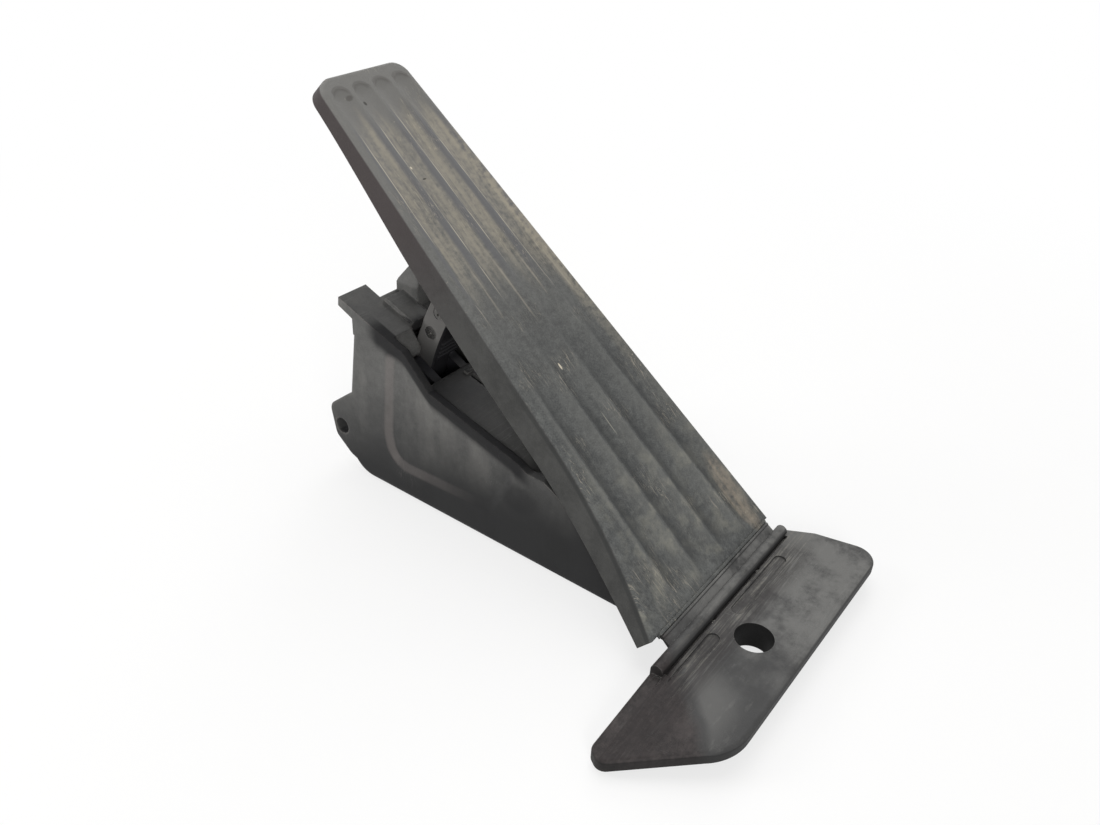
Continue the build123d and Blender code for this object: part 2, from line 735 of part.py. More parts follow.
with BuildPart() as housing:
    with BuildSketch(left_face) as outer_side:
        with BuildLine():
            Polyline((toe_front, 0), (rear_foot, 0), *rear_line, *rim_line, close=True)
        make_face()
        fillet(outer_side.vertices().sort_by(Axis.X)[-1], housing_corner)
    extrude(amount=housing_width)
    rear_edges = housing.edges().filter_by(lambda e: e.center().Y > arm_y + 20 and e.length > 30)
    fillet(rear_edges.filter_by(Axis.X, reverse=True), rear_radius)
    # deck sunk between the two rims
    with BuildSketch(left_face.offset(rim_width)):
        with BuildLine():
            Polyline(
                *deck_line[3:],
                deck_toe,
                (toe_front - 4, deck_toe[1]),
                (toe_front - 4, 90),
                (deck_line[3][0], 90),
                close=True,
            )
        make_face()
    extrude(amount=housing_width - 2 * rim_width, mode=Mode.SUBTRACT)
    # inside of the shell
    with BuildSketch(left_face.offset(housing_wall)) as inner_side:
        with BuildLine():
            Polyline((toe_front, 0), (rear_foot, 0), *rear_line, *deck_line, deck_toe, close=True)
        make_face()
        fillet(inner_side.vertices().sort_by(Axis.X)[-1], housing_corner)
        offset(amount=-housing_wall, kind=Kind.INTERSECTION, mode=Mode.REPLACE)
    extrude(amount=housing_width - 2 * housing_wall, mode=Mode.SUBTRACT)
    with BuildSketch(Plane.XY.offset(-1)):
        with Locations(((inner_left + inner_right) / 2, (base_front + base_rear) / 2)):
            Rectangle(inner_right - inner_left, base_rear - base_front)
    extrude(amount=housing_wall + 1.5, mode=Mode.SUBTRACT)
    # flange at the rear left, raised middle deck and hump behind the arm
    with BuildSketch(left_face):
        with BuildLine():
            Polyline(*flange_line, close=True)
        make_face()
    extrude(amount=flange_width)
    with BuildSketch(Plane.YZ.offset(middle_left)):
        with BuildLine():
            Polyline(
                (arm_y + 1.4, 66.0),
                (arm_y + 1.4, 66.5 + deck_step),
                (arm_y + 18.8, 73.2 + deck_step),
                (arm_y + 21.8, 72.0),
                (arm_y + 21.8, 66.0),
                close=True,
            )
        make_face()
    extrude(amount=deck_width)
    with BuildSketch(Plane.YZ.offset(middle_left + deck_width)):
        with BuildLine():
            Polyline(*hump_line, close=True)
        make_face()
    extrude(amount=housing_right - middle_left - deck_width - hump_inset)
    hump_left = middle_left + deck_width
    with BuildSketch(Plane.XZ.offset(-hump_line[0][0] + 2)):
        with BuildLine():
            Polyline(
                (hump_left - 1, hump_top - hump_slope),
                (hump_left, hump_top - hump_slope),
                (hump_left + hump_slope, hump_top),
                (hump_left + hump_slope, hump_top + 2),
                (hump_left - 1, hump_top + 2),
                close=True,
            )
        make_face()
    extrude(amount=-16, mode=Mode.SUBTRACT)
    # mouth for the push arm, its rear wall curved about the hinge line as the arm is
    with BuildSketch(Plane.XY.offset(46)):
        with Locations(((mouth_left + mouth_right) / 2, arm_y - mouth_lip + mouth_depth / 2)):
            Rectangle(mouth_right - mouth_left, mouth_depth)
    extrude(amount=40, mode=Mode.SUBTRACT)
    with BuildSketch(hinge_side.offset(mouth_throat - hinge_x)):
        with BuildLine(mode=Mode.PRIVATE) as mouth_line:
            CenterArc((0, 0), arm_radius + arm_room - 3, degrees(drive_turn), mouth_swing)
        SlotArc(mouth_line.edge(), arm_width + 6)
    extrude(amount=mouth_right - mouth_throat, mode=Mode.SUBTRACT)
    # sloped step from the flange down to the mouth, on the arm's left
    with BuildSketch(left_face.offset(rim_width)):
        with BuildLine():
            Polyline(
                (flange_line[0][0], flange_line[0][1] - 0.8),
                (arm_y - mouth_lip + mouth_depth - 0.2, flange_line[0][1] - mouth_step),
                (arm_y - mouth_lip + mouth_depth - 0.2, 90),
                (flange_line[0][0], 90),
                close=True,
            )
        make_face()
    extrude(amount=mouth_throat + 0.2 - mouth_left, mode=Mode.SUBTRACT)
    # narrow slot in the deck in front of the mouth, with a small catch behind it
    with BuildSketch(deck_plane):
        with Locations((0, -deck_slot_length / 2 - 1.5)):
            Rectangle(deck_slot_width, deck_slot_length)
    extrude(amount=-deck_slot_depth, mode=Mode.SUBTRACT)
    with BuildSketch(deck_plane.offset(-0.4)):
        Rectangle(3.6, 1.8)
    extrude(amount=1.3)
    # recessed panel with sloped edges on the left wall; the right wall is flat for the sensor unit
    with BuildSketch(left_face):
        with BuildLine():
            FilletPolyline(*[p[:2] for p in panel_line], radius=[p[2] for p in panel_line], close=True)
        make_face()
    extrude(amount=panel_recess, taper=panel_slope, mode=Mode.SUBTRACT)
    # rear ears
    for ear_left in (housing_left, housing_right - ear_thickness):
        with BuildSketch(Plane.YZ.offset(ear_left)):
            with BuildLine():
                FilletPolyline(
                    (ear_y - 12.2, 40.0),
                    (ear_y - 6.2, 36.6),
                    (ear_y + 6.2, ear_z + 7.9),
                    (ear_y + 3.6, ear_z - 5.2),
                    (ear_y - 4.0, ear_z - 11.6),
                    (ear_y - 12.2, 4.0),
                    radius=[0, 4.0, 5.0, 4.0, 6.0, 0],
                    close=True,
                )
            make_face()
        extrude(amount=ear_thickness)
    with BuildSketch(left_face.offset(-1)):
        with Locations((ear_y, ear_z)):
            Circle(ear_hole_radius)
    extrude(amount=housing_width + 2, mode=Mode.SUBTRACT)
    # toe tongue under the foot plate
    with BuildSketch(Plane.XY):
        with Locations(((housing_left + housing_right) / 2, toe_front - toe_length / 2 + 2)):
            RectangleRounded(housing_width, toe_length + 4, 3)
        Circle(foot_boss_radius + fit_gap, mode=Mode.SUBTRACT)
    extrude(amount=foot_bottom)
    # bosses for the bushes, the base screws and the cover screws
    with BuildSketch(Plane.YZ.offset(inner_left - 0.5)):
        with Locations((pivot_y, pivot_z)):
            Circle(boss_radius)
    extrude(amount=boss_length + 0.5)
    with BuildSketch(Plane.YZ.offset(right_boss_end)):
        with Locations((pivot_y, pivot_z)):
            Circle(boss_radius)
    extrude(amount=boss_length + 0.5)
    with BuildSketch(Plane.XY.offset(base_thickness + 0.2)):
        with Locations(*base_points):
            Circle(4.0)
        for base_x, base_y in base_points:
            wall_x = inner_left - 0.5 if base_x < hinge_x else inner_right + 0.5
            with Locations(((base_x + wall_x) / 2, base_y)):
                Rectangle(abs(base_x - wall_x), 8.0)
    extrude(amount=8.0)
    with BuildSketch(Plane.YZ.offset(inner_right - 6)):
        with Locations(*cover_points):
            Circle(3.6)
    extrude(amount=6.5)
    # bores
    with BuildSketch(Plane.YZ.offset(left_boss_end - boss_length + 0.8)):
        with Locations((pivot_y, pivot_z)):
            Circle(bush_outer + shaft_clearance)
    extrude(amount=boss_length + 1, mode=Mode.SUBTRACT)
    with BuildSketch(Plane.YZ.offset(right_boss_end - 1)):
        with Locations((pivot_y, pivot_z)):
            Circle(bush_outer + shaft_clearance)
    extrude(amount=boss_length + housing_wall + 2, mode=Mode.SUBTRACT)
    with BuildSketch(Plane.XY.offset(base_thickness)):
        with Locations(*base_points):
            Circle(screw_radius + shaft_clearance)
    extrude(amount=7.0, mode=Mode.SUBTRACT)
    with BuildSketch(Plane.YZ.offset(inner_right - 5)):
        with Locations(*cover_points):
            Circle(screw_radius + shaft_clearance)
    extrude(amount=10, mode=Mode.SUBTRACT)
    with BuildSketch(Plane.XY.offset(-1)):
        with Locations(*toe_screw_points):
            Circle(screw_radius + 0.2)
    extrude(amount=foot_bottom + 2, mode=Mode.SUBTRACT)
    with BuildSketch(Plane.XY.offset(-1)):
        with Locations(*toe_screw_points):
            Circle(screw_head_radius + 0.2)
    extrude(amount=1 + screw_head_height - 0.3, mode=Mode.SUBTRACT)
    with BuildSketch(Plane.XY.offset(stop_low)):
        with Locations((stop_x, stop_y)):
            Circle(stop_radius - 2 + shaft_clearance)
    extrude(amount=10, mode=Mode.SUBTRACT)
housing.part.label = "housing"
export_step(housing.part, "parts/housing.step")


# Base plate let into the bottom of the housing, with a ring that locates the springs
spring_y = dome_centre.Y
base_mid = ((inner_left + inner_right) / 2, (base_front + base_rear) / 2)
base_size = (inner_right - inner_left - 2 * fit_gap, base_rear - base_front - 2 * fit_gap)
with BuildPart() as base_plate:
    with BuildSketch(Plane.XY):
        with Locations(base_mid):
            Rectangle(*base_size)
    extrude(amount=base_thickness)
    with BuildSketch(Plane.XY.offset(base_thickness)):
        with Locations((hinge_x, spring_y)):
            Circle(outer_spring_radius + outer_spring_wire / 2 + 2.0)
            Circle(outer_spring_radius + outer_spring_wire / 2 + 0.5, mode=Mode.SUBTRACT)
    extrude(amount=2.0)
    with BuildSketch(Plane.XY.offset(base_thickness)):
        for rib_x in (hinge_x - 11.5, hinge_x + 13.5):
            with Locations((rib_x, base_mid[1] - 14)):
                Rectangle(1.6, base_size[1] - 60)
    extrude(amount=2.4)
    with BuildSketch(Plane.XY.offset(-1)):
        with Locations(*base_points):
            Circle(screw_radius + 0.2)
    extrude(amount=base_thickness + 2, mode=Mode.SUBTRACT)
    with BuildSketch(Plane.XY.offset(-1)):
        with Locations(*base_points):
            Circle(screw_head_radius + 0.2)
    extrude(amount=1 + screw_head_height - 0.5, mode=Mode.SUBTRACT)
base_plate.part.label = "base_plate"
export_step(base_plate.part, "parts/base_plate.step")

# Cross-recess screws from below: four hold the base plate, two hold the foot plate to the toe
with BuildPart() as base_screws:
    with BuildSketch(Plane.XY.offset(0.2)):
        with Locations(*base_points):
            Circle(screw_head_radius)
    extrude(amount=screw_head_height - 0.8)
    with BuildSketch(Plane.XY.offset(0.2)):
        with Locations(*base_points):
            Circle(screw_radius)
    extrude(amount=8.6)
    with BuildSketch(Plane.XY.offset(0.2)):
        with Locations(*base_points):
            Rectangle(3.2, 0.8)
            Rectangle(0.8, 3.2)
    extrude(amount=0.9, mode=Mode.SUBTRACT)
base_screws.part.label = "base_screws"
export_step(base_screws.part, "parts/base_screws.step")

with BuildPart() as toe_screws:
    with BuildSketch(Plane.XY.offset(0.2)):
        with Locations(*toe_screw_points):
            Circle(screw_head_radius)
    extrude(amount=screw_head_height - 0.6)
    with BuildSketch(Plane.XY.offset(0.2)):
        with Locations(*toe_screw_points):
            Circle(screw_radius)
    extrude(amount=foot_top - 2.2)
    with BuildSketch(Plane.XY.offset(0.2)):
        with Locations(*toe_screw_points):
            Rectangle(3.2, 0.8)
            Rectangle(0.8, 3.2)
    extrude(amount=0.9, mode=Mode.SUBTRACT)
toe_screws.part.label = "toe_screws"
export_step(toe_screws.part, "parts/toe_screws.step")


# Nested return springs between the base plate and the lever's dome
spring_foot = base_thickness + 0.2
outer_start = spring_foot + outer_spring_wire / 2
outer_seat = dome_radius + outer_spring_wire / 2 + 0.25
outer_top = dome_centre.Z - sqrt(outer_seat**2 - outer_spring_radius**2)
with BuildPart() as outer_spring:
    with BuildLine():
        coil = Helix(
            (outer_top - outer_start) / outer_spring_turns,
            outer_top - outer_start,
            outer_spring_radius,
            center=(hinge_x, spring_y, outer_start),
        )
    with BuildSketch(Plane(origin=coil @ 0, z_dir=coil % 0)):
        RegularPolygon(outer_spring_wire / 2, 8)
    sweep(is_frenet=True)
outer_spring.part.label = "outer_spring"
export_step(outer_spring.part, "parts/outer_spring.step")

inner_start = spring_foot + inner_spring_wire / 2
inner_seat = dome_radius + inner_spring_wire / 2 + 0.25
inner_top = dome_centre.Z - sqrt(inner_seat**2 - inner_spring_radius**2)
with BuildPart() as inner_spring:
    with BuildLine():
        small_coil = Helix(
            (inner_top - inner_start) / inner_spring_turns,
            inner_top - inner_start,
            inner_spring_radius,
            center=(hinge_x, spring_y, inner_start),
            lefthand=True,
        )
    with BuildSketch(Plane(origin=small_coil @ 0, z_dir=small_coil % 0)):
        RegularPolygon(inner_spring_wire / 2, 8)
    sweep(is_frenet=True)
inner_spring.part.label = "inner_spring"
export_step(inner_spring.part, "parts/inner_spring.step")


# Rubber stop plugged into the hump, just short of the pad's underside at full travel
with BuildPart() as stop_bumper:
    with BuildSketch(Plane.XY.offset(hump_top + 0.02)):
        with Locations((stop_x, stop_y)):
            Circle(stop_radius)
    extrude(amount=stop_top - hump_top - 0.02, taper=6)
    with BuildSketch(Plane.XY.offset(stop_low + 0.3)):
        with Locations((stop_x, stop_y)):
            Circle(stop_radius - 2)
    extrude(amount=hump_top + 0.2 - stop_low - 0.3)
    fillet(stop_bumper.faces().sort_by(Axis.Z)[-1].edges(), 0.8)
stop_bumper.part.label = "stop_bumper"
export_step(stop_bumper.part, "parts/stop_bumper.step")


# Sensor unit: seal, cover with the plug socket, circuit board, sensor chip and contacts
sensor_mid = ((sensor_front + sensor_rear) / 2, (sensor_low + sensor_high) / 2)
sensor_size = (sensor_rear - sensor_front, sensor_high - sensor_low)
cover_left = housing_right + seal_thickness
cover_right = cover_left + sensor_depth
board_left = magnet_left + magnet_length + air_gap
board_right = board_left + board_thickness
socket_mid_x = board_left - contact_size / 2
with BuildPart() as sensor_seal:
    with BuildSketch(right_face):
        with Locations(sensor_mid):
            RectangleRounded(*sensor_size, 3)
            RectangleRounded(sensor_size[0] - 2 * sensor_wall, sensor_size[1] - 2 * sensor_wall, 2, mode=Mode.SUBTRACT)
        with Locations(*cover_points):
            Circle(3.6)
        with Locations(*cover_points):
            Circle(screw_radius + 0.2, mode=Mode.SUBTRACT)
    extrude(amount=seal_thickness)
sensor_seal.part.label = "sensor_seal"
export_step(sensor_seal.part, "parts/sensor_seal.step")

with BuildPart() as sensor_cover:
    with BuildSketch(Plane.YZ.offset(cover_left)):
        with Locations(sensor_mid):
            RectangleRounded(*sensor_size, 3)
    extrude(amount=sensor_depth)
    fillet(sensor_cover.faces().sort_by(Axis.X)[-1].edges(), 1.2)
    with BuildSketch(Plane.YZ.offset(cover_left)):
        with Locations(sensor_mid):
            RectangleRounded(sensor_size[0] - 2 * sensor_wall, sensor_size[1] - 2 * sensor_wall, 2)
        with Locations(*cover_points):
            Circle(3.6, mode=Mode.SUBTRACT)
    extrude(amount=sensor_depth - sensor_wall, mode=Mode.SUBTRACT)
    # posts that carry the board
    with BuildSketch(Plane.YZ.offset(board_right)):
        with Locations((sensor_mid[0] + 4, sensor_low + 5), (sensor_mid[0] + 4, sensor_high - 5)):
            Circle(1.8)
    extrude(amount=cover_right - 1 - board_right)
    with BuildSketch(Plane.YZ.offset(board_left - 0.8)):
        with Locations((sensor_mid[0] + 4, sensor_low + 5), (sensor_mid[0] + 4, sensor_high - 5)):
            Circle(1.0)
    extrude(amount=board_thickness + 1.0)
    # socket
    with BuildSketch(Plane.XZ.offset(-sensor_rear + 0.5)):
        with Locations((socket_mid_x, sensor_mid[1])):
            RectangleRounded(socket_width, socket_height, 1.6)
    extrude(amount=-socket_length - 0.5)
    with BuildSketch(Plane.XZ.offset(-sensor_rear - 1)):
        with Locations((socket_mid_x, sensor_mid[1])):
            RectangleRounded(socket_width - 2 * socket_wall, socket_height - 2 * socket_wall, 1.0)
    extrude(amount=-socket_length, mode=Mode.SUBTRACT)
    with BuildSketch(Plane.XY.offset(sensor_mid[1] + socket_height / 2 - 0.2)):
        with Locations((socket_mid_x, sensor_rear + socket_length - 5)):
            Rectangle(4.0, 2.0)
    extrude(amount=1.6)
    with BuildSketch(Plane.YZ.offset(cover_left - 1)):
        with Locations(*cover_points):
            Circle(screw_radius + 0.2)
    extrude(amount=sensor_depth + 2, mode=Mode.SUBTRACT)
    with BuildSketch(Plane.YZ.offset(cover_right - screw_head_height - 0.2)):
        with Locations(*cover_points):
            Circle(screw_head_radius + 0.2)
    extrude(amount=screw_head_height + 2, mode=Mode.SUBTRACT)
sensor_cover.part.label = "sensor_cover"
export_step(sensor_cover.part, "parts/sensor_cover.step")

with BuildPart() as cover_screws:
    with BuildSketch(Plane.YZ.offset(inner_right - 4.6)):
        with Locations(*cover_points):
            Circle(screw_radius)
    extrude(amount=cover_right - 1.0 - inner_right + 4.6)
    with BuildSketch(Plane.YZ.offset(cover_right - screw_head_height - 0.1)):
        with Locations(*cover_points):
            Circle(screw_head_radius)
    extrude(amount=screw_head_height - 0.3)
    with BuildSketch(Plane.YZ.offset(cover_right)):
        with Locations(*cover_points):
            Rectangle(3.2, 0.8)
            Rectangle(0.8, 3.2)
    extrude(amount=-1.3, mode=Mode.SUBTRACT)
cover_screws.part.label = "cover_screws"
export_step(cover_screws.part, "parts/cover_screws.step")

with BuildPart() as sensor_board:
    with BuildSketch(Plane.YZ.offset(board_left)):
        with Locations((sensor_mid[0] + 1, sensor_mid[1])):
            Rectangle(sensor_size[0] - 20, sensor_size[1] - 6)
        with Locations((sensor_mid[0] + 4, sensor_low + 5), (sensor_mid[0] + 4, sensor_high - 5)):
            Circle(1.0 + 0.1, mode=Mode.SUBTRACT)
    extrude(amount=board_thickness)
sensor_board.part.label = "sensor_board"
export_step(sensor_board.part, "parts/sensor_board.step")

with BuildPart() as sensor_chip:
    with BuildSketch(Plane.YZ.offset(board_left)):
        with Locations((pivot_y, pivot_z)):
            Rectangle(5.0, 4.4)
    extrude(amount=-0.9)
sensor_chip.part.label = "sensor_chip"
export_step(sensor_chip.part, "parts/sensor_chip.step")

# Contacts that lie on the board and pass through the cover's rear wall into the socket
contact_z = [sensor_mid[1] + (i - (contact_count - 1) / 2) * contact_pitch for i in range(contact_count)]
contact_front = sensor_mid[0] + 1 + (sensor_size[0] - 20) / 2 - 3
contact_rear = sensor_rear + socket_length - 6
with BuildPart() as connector_pins:
    with BuildSketch(Plane.XZ.offset(-contact_front)):
        for height in contact_z:
            with Locations((socket_mid_x, height)):
                Rectangle(contact_size, contact_size)
    extrude(amount=contact_front - contact_rear)
connector_pins.part.label = "connector_pins"
export_step(connector_pins.part, "parts/connector_pins.step")
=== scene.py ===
import json
from math import cos, radians, sin
import bpy
from mathutils import Matrix, Quaternion, Vector


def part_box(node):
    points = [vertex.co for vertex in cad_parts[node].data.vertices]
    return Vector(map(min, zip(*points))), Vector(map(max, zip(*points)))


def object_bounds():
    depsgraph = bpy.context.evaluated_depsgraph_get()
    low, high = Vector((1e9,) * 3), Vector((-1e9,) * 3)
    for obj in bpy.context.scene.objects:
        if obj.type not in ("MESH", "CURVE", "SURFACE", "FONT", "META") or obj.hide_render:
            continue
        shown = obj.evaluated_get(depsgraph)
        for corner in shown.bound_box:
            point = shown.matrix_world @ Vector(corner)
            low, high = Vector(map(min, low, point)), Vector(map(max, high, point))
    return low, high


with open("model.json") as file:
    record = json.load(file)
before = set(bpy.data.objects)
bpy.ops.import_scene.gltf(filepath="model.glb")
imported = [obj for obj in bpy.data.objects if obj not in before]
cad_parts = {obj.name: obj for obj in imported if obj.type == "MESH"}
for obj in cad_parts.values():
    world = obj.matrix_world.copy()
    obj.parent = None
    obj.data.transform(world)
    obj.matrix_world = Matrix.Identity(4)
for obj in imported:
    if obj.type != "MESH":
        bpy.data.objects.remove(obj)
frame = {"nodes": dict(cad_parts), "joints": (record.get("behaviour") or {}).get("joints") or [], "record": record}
cadBox = [list(corner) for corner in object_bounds()]
nodes = frame["nodes"]
joints = {joint["name"]: joint for joint in frame["joints"]}
mounts = {mount["name"]: mount for mount in frame["record"]["mounts"]}
print("frame loaded:", len(nodes), "pieces")

noiseMiddle = 0.5  # what a noise swings about
socketNames = dict(
    colour="Base Color", rough="Roughness", metal="Metallic", normal="Normal", sheen="Specular IOR Level",
)
lookRays = ("Is Camera Ray", "Is Glossy Ray", "Is Transmission Ray")


# shader maths: a Value wraps a socket, and its operators add Math nodes
class Value:
    def __init__(self, board, socket):
        self.board = board
        self.socket = socket

    def calc(self, operation, *numbers):
        return self.board.node("Math", dict(operation=operation), dict(enumerate(numbers)))

    def __add__(self, other):
        return self.calc("ADD", self, other)

    def __radd__(self, other):
        return self.calc("ADD", other, self)

    def __sub__(self, other):
        return self.calc("SUBTRACT", self, other)

    def __rsub__(self, other):
        return self.calc("SUBTRACT", other, self)

    def __mul__(self, other):
        return self.calc("MULTIPLY", self, other)

    def __rmul__(self, other):
        return self.calc("MULTIPLY", other, self)

    def __truediv__(self, other):
        return self.calc("DIVIDE", self, other)

    def __rtruediv__(self, other):
        return self.calc("DIVIDE", other, self)

    def __pow__(self, other):
        return self.calc("POWER", self, other)

    def __rpow__(self, other):
        return self.calc("POWER", other, self)

    def absolute(self):
        return self.calc("ABSOLUTE", self)

    def most(self, other):
        return self.calc("MAXIMUM", self, other)

    def least(self, other):
        return self.calc("MINIMUM", self, other)

    def fraction(self):
        return self.calc("FRACT", self)

    # a noise's swing about its middle
    def swing(self):
        return self - noiseMiddle

    def clamped(self):
        return self.board.node("Clamp", {}, {"Value": self})


# one material being wired: node() adds any node by type, settings and socket values or links
class Board:
    def __init__(self, name, holder=None):
        self.material = holder or bpy.data.materials.new(name)
        self.material.use_nodes = True
        self.tree = self.material.node_tree
        self.tree.nodes.clear()

    def node(self, kind, settings, inputs, output=0):
        made = self.tree.nodes.new("ShaderNode" + kind)
        for key, value in settings.items():
            setattr(made, key, value)
        for key, value in inputs.items():
            if isinstance(value, Value):
                self.tree.links.new(value.socket, made.inputs[key])
            else:
                made.inputs[key].default_value = value
        return None if output is None else Value(self, made.outputs[output])

    # Object coordinates, which are the part's own frame
    def place(self):
        return self.node("TexCoord", {}, {}, "Object")

    def axes(self, vector, letters="XYZ"):
        return [self.node("SeparateXYZ", {}, {0: vector}, letter) for letter in letters]

    # the mesh's own normal, along the given axes
    def facing(self, letters):
        return self.axes(self.node("NewGeometry", {}, {}, "Normal"), letters)

    # noise at one scale, or drawn out by a scale for each axis and then turned
    def noise(self, vector, scale, detail=4.0, rough=0.55, turn=(0, 0, 0)):
        if isinstance(scale, tuple):
            vector = self.node("Mapping", {}, {"Vector": vector, "Scale": scale, "Rotation": turn})
            scale = 1.0
        inputs = {"Vector": vector, "Scale": scale, "Detail": detail, "Roughness": rough}
        return self.node("TexNoise", {}, inputs)

    def cells(self, vector, scale, **settings):
        return self.node("TexVoronoi", settings, {"Vector": vector, "Scale": scale})

    # atStart up to start, atEnd from end on, smooth between; start may lie above end
    def ramp(self, value, start, end, atStart=0.0, atEnd=1.0):
        inputs = {"Value": value, "From Min": start, "From Max": end, "To Min": atStart, "To Max": atEnd}
        return self.node("MapRange", dict(interpolation_type="SMOOTHSTEP"), inputs)

    # 1 between middleLow and middleHigh, smooth to 0 at low and high
    def band(self, value, low, middleLow, middleHigh, high):
        return self.ramp(value, low, middleLow) * self.ramp(value, high, middleHigh)

    # round or oval spot: 1 up to half way out, 0 at the given half sizes
    def spot(self, across, along, middle, half):
        side = (across - middle[0]) * (1.0 / half[0])
        rise = (along - middle[1]) * (1.0 / half[1])
        return self.ramp(side * side + rise * rise, 1.0, 0.5 ** 2)

    # thin lines where a drawn-out noise crosses its middle, full over a share of their width
    def hairlines(self, vector, scale, turn, width, fullShare=0.3):
        drawn = self.noise(vector, scale, 1.0, turn=turn)
        return self.ramp(drawn.swing().absolute(), width, width * fullShare)

    # hairlines of several strokes together: the scales, turn and width of each
    def scratches(self, vector, strokes):
        return sum(self.hairlines(vector, *stroke) for stroke in strokes).clamped()

    # the sum of named parts, each times its share
    def summed(self, shares, parts):
        return sum(share * parts[name] for name, share in shares.items())

    # colours mixed by a factor: sockets 6 and 7 are the node's colours, and 2 is its colour result
    def mix(self, factor, first, second):
        first, second = [(*tone, 1.0) if isinstance(tone, tuple) else tone for tone in (first, second)]
        return self.node("Mix", dict(data_type="RGBA"), {0: factor, 6: first, 7: second}, 2)

    # a look's layers over a colour, in order: each has a tone and a strength, and lies where its part is
    def layered(self, colour, look, parts):
        for name, (tone, strength) in look["layers"].items():
            colour = self.mix(parts[name] * strength, colour, look[tone])
        return colour

    # the mesh's normal, rounded over its corners
    def softNormal(self, radius):
        return self.node("Bevel", dict(samples=5), {"Radius": radius})

    # 0 on flat faces, rising to 1 along corners: 1 less the cosine between the rounded and the plain normal
    def corners(self, soft):
        plain = self.node("NewGeometry", {}, {}, "Normal")
        return 1.0 - self.node("VectorMath", dict(operation="DOT_PRODUCT"), {0: soft, 1: plain}, "Value")

    # normal from a height, with its depth in metres, on top of another normal
    def bump(self, height, depth, normal=None):
        inputs = {"Height": height, "Distance": depth, "Strength": 1.0}
        if normal is not None:
            inputs["Normal"] = normal
        return self.node("Bump", {}, inputs)

    # 1 for rays that look: straight from the camera, mirrored, or let through
    def seen(self):
        return sum(self.node("LightPath", {}, {}, ray) for ray in lookRays).clamped()

    def surface(self, **sockets):
        return self.node("BsdfPrincipled", {}, {socketNames[key]: value for key, value in sockets.items()})

    def show(self, surface):
        self.node("OutputMaterial", {}, {"Surface": surface}, None)
        return self.material

    def finish(self, **sockets):
        return self.show(self.surface(**sockets))

    # a moulding: roughness and relief summed from named parts, on its rounded normal
    def moulded(self, look, colour, soft, parts):
        rough = look["rough"] + self.summed(look["roughens"], parts)
        normal = self.bump(self.summed(look["relief"], parts), look["depth"], soft)
        return self.finish(colour=colour, rough=rough, normal=normal, sheen=look["gloss"])


# In the looks below, a noise is its scale (or one for each axis), detail, roughness and turn, a range is
# where a mask is 0 and where it is 1, and a band is its four edges, low to high. Layers lie in their order,
# each with a tone and a strength. Roughens and relief give each part's share in roughness and in height.

# moulded plastic: fine grain, cloudy tone, scattered scuffs and paler corners
plasticTexture = dict(
    cloud=(38.0, 3.0), scuffs=(120.0, 6.0, 0.62), breaks=(260.0, 4.0), grain=(2600.0, 2.0),
    scuffRange=(0.52, 0.74), breakRange=(0.35, 0.65), cornerRange=(0.03, 0.22),
    cloudLift=1.35, cornerShare=0.35, roughens=dict(cloud=0.16, scuffs=0.15), relief=dict(grain=1.0),
)
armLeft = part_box("push_arm")[0].x
plasticLooks = {
    "basePlastic": dict(
        tone=(0.034, 0.034, 0.034), worn=(0.08, 0.079, 0.077),
        rough=0.46, depth=0.00003, scuff=0.2, soft=0.0004, gloss=0.2,
    ),
    "coverPlastic": dict(
        tone=(0.022, 0.022, 0.023), worn=(0.06, 0.06, 0.061),
        rough=0.40, depth=0.00003, scuff=0.2, soft=0.0004, gloss=0.4,
    ),
    "armPlastic": dict(
        tone=(0.115, 0.112, 0.108), worn=(0.20, 0.197, 0.188),
        rough=0.45, depth=0.00003, scuff=0.3, soft=0.0003, gloss=0.14,
        # near-black painted shade for the arm's front, lower end and rib ends
        grease=(0.006, 0.006, 0.008), greaseStrength=0.92, footShare=0.7, footRange=(0.064, 0.052),
        frontRange=(-0.25, -0.45), leftRange=(-0.5, -0.8), ribRange=(armLeft + 0.0007, armLeft + 0.0008),
    ),
    "leverPlastic": dict(
        tone=(0.016, 0.016, 0.018), worn=(0.05, 0.05, 0.052),
        rough=0.38, depth=0.00002, scuff=0.2, soft=0.0003, gloss=0.4,
    ),
    "bushPlastic": dict(
        tone=(0.52, 0.50, 0.44), worn=(0.6, 0.58, 0.52),
        rough=0.4, depth=0.00002, scuff=0.2, soft=0.0002, gloss=0.5,
    ),
    "chipPlastic": dict(
        tone=(0.02, 0.02, 0.021), worn=(0.04, 0.04, 0.041),
        rough=0.55, depth=0.00002, scuff=0.1, soft=0.0001, gloss=0.4,
    ),
    "stopRubber": dict(
        tone=(0.016, 0.016, 0.016), worn=(0.05, 0.05, 0.05),
        rough=0.72, depth=0.00004, scuff=0.3, soft=0.0003, gloss=0.3,
    ),
    "sealRubber": dict(
        tone=(0.02, 0.02, 0.021), worn=(0.05, 0.05, 0.05),
        rough=0.7, depth=0.00003, scuff=0.2, soft=0.0001, gloss=0.3,
    ),
}


# a moulding's tone where its clouds are palest
def lifted(look):
    return tuple(look["cloudLift"] * part for part in look["tone"])


# painted shade on the arm: darker on faces towards the foot plate, at its lower end, and on the ribs' left ends
def armGrease(board, place, look):
    x, z = board.axes(place, "XZ")
    sideways, ahead = board.facing("XY")
    front = board.ramp(ahead, *look["frontRange"])
    foot = board.ramp(z, *look["footRange"])
    ribEnds = board.ramp(x, *look["ribRange"]) * board.ramp(sideways, *look["leftRange"])
    return (front + look["footShare"] * foot + ribEnds).clamped() * look["greaseStrength"]


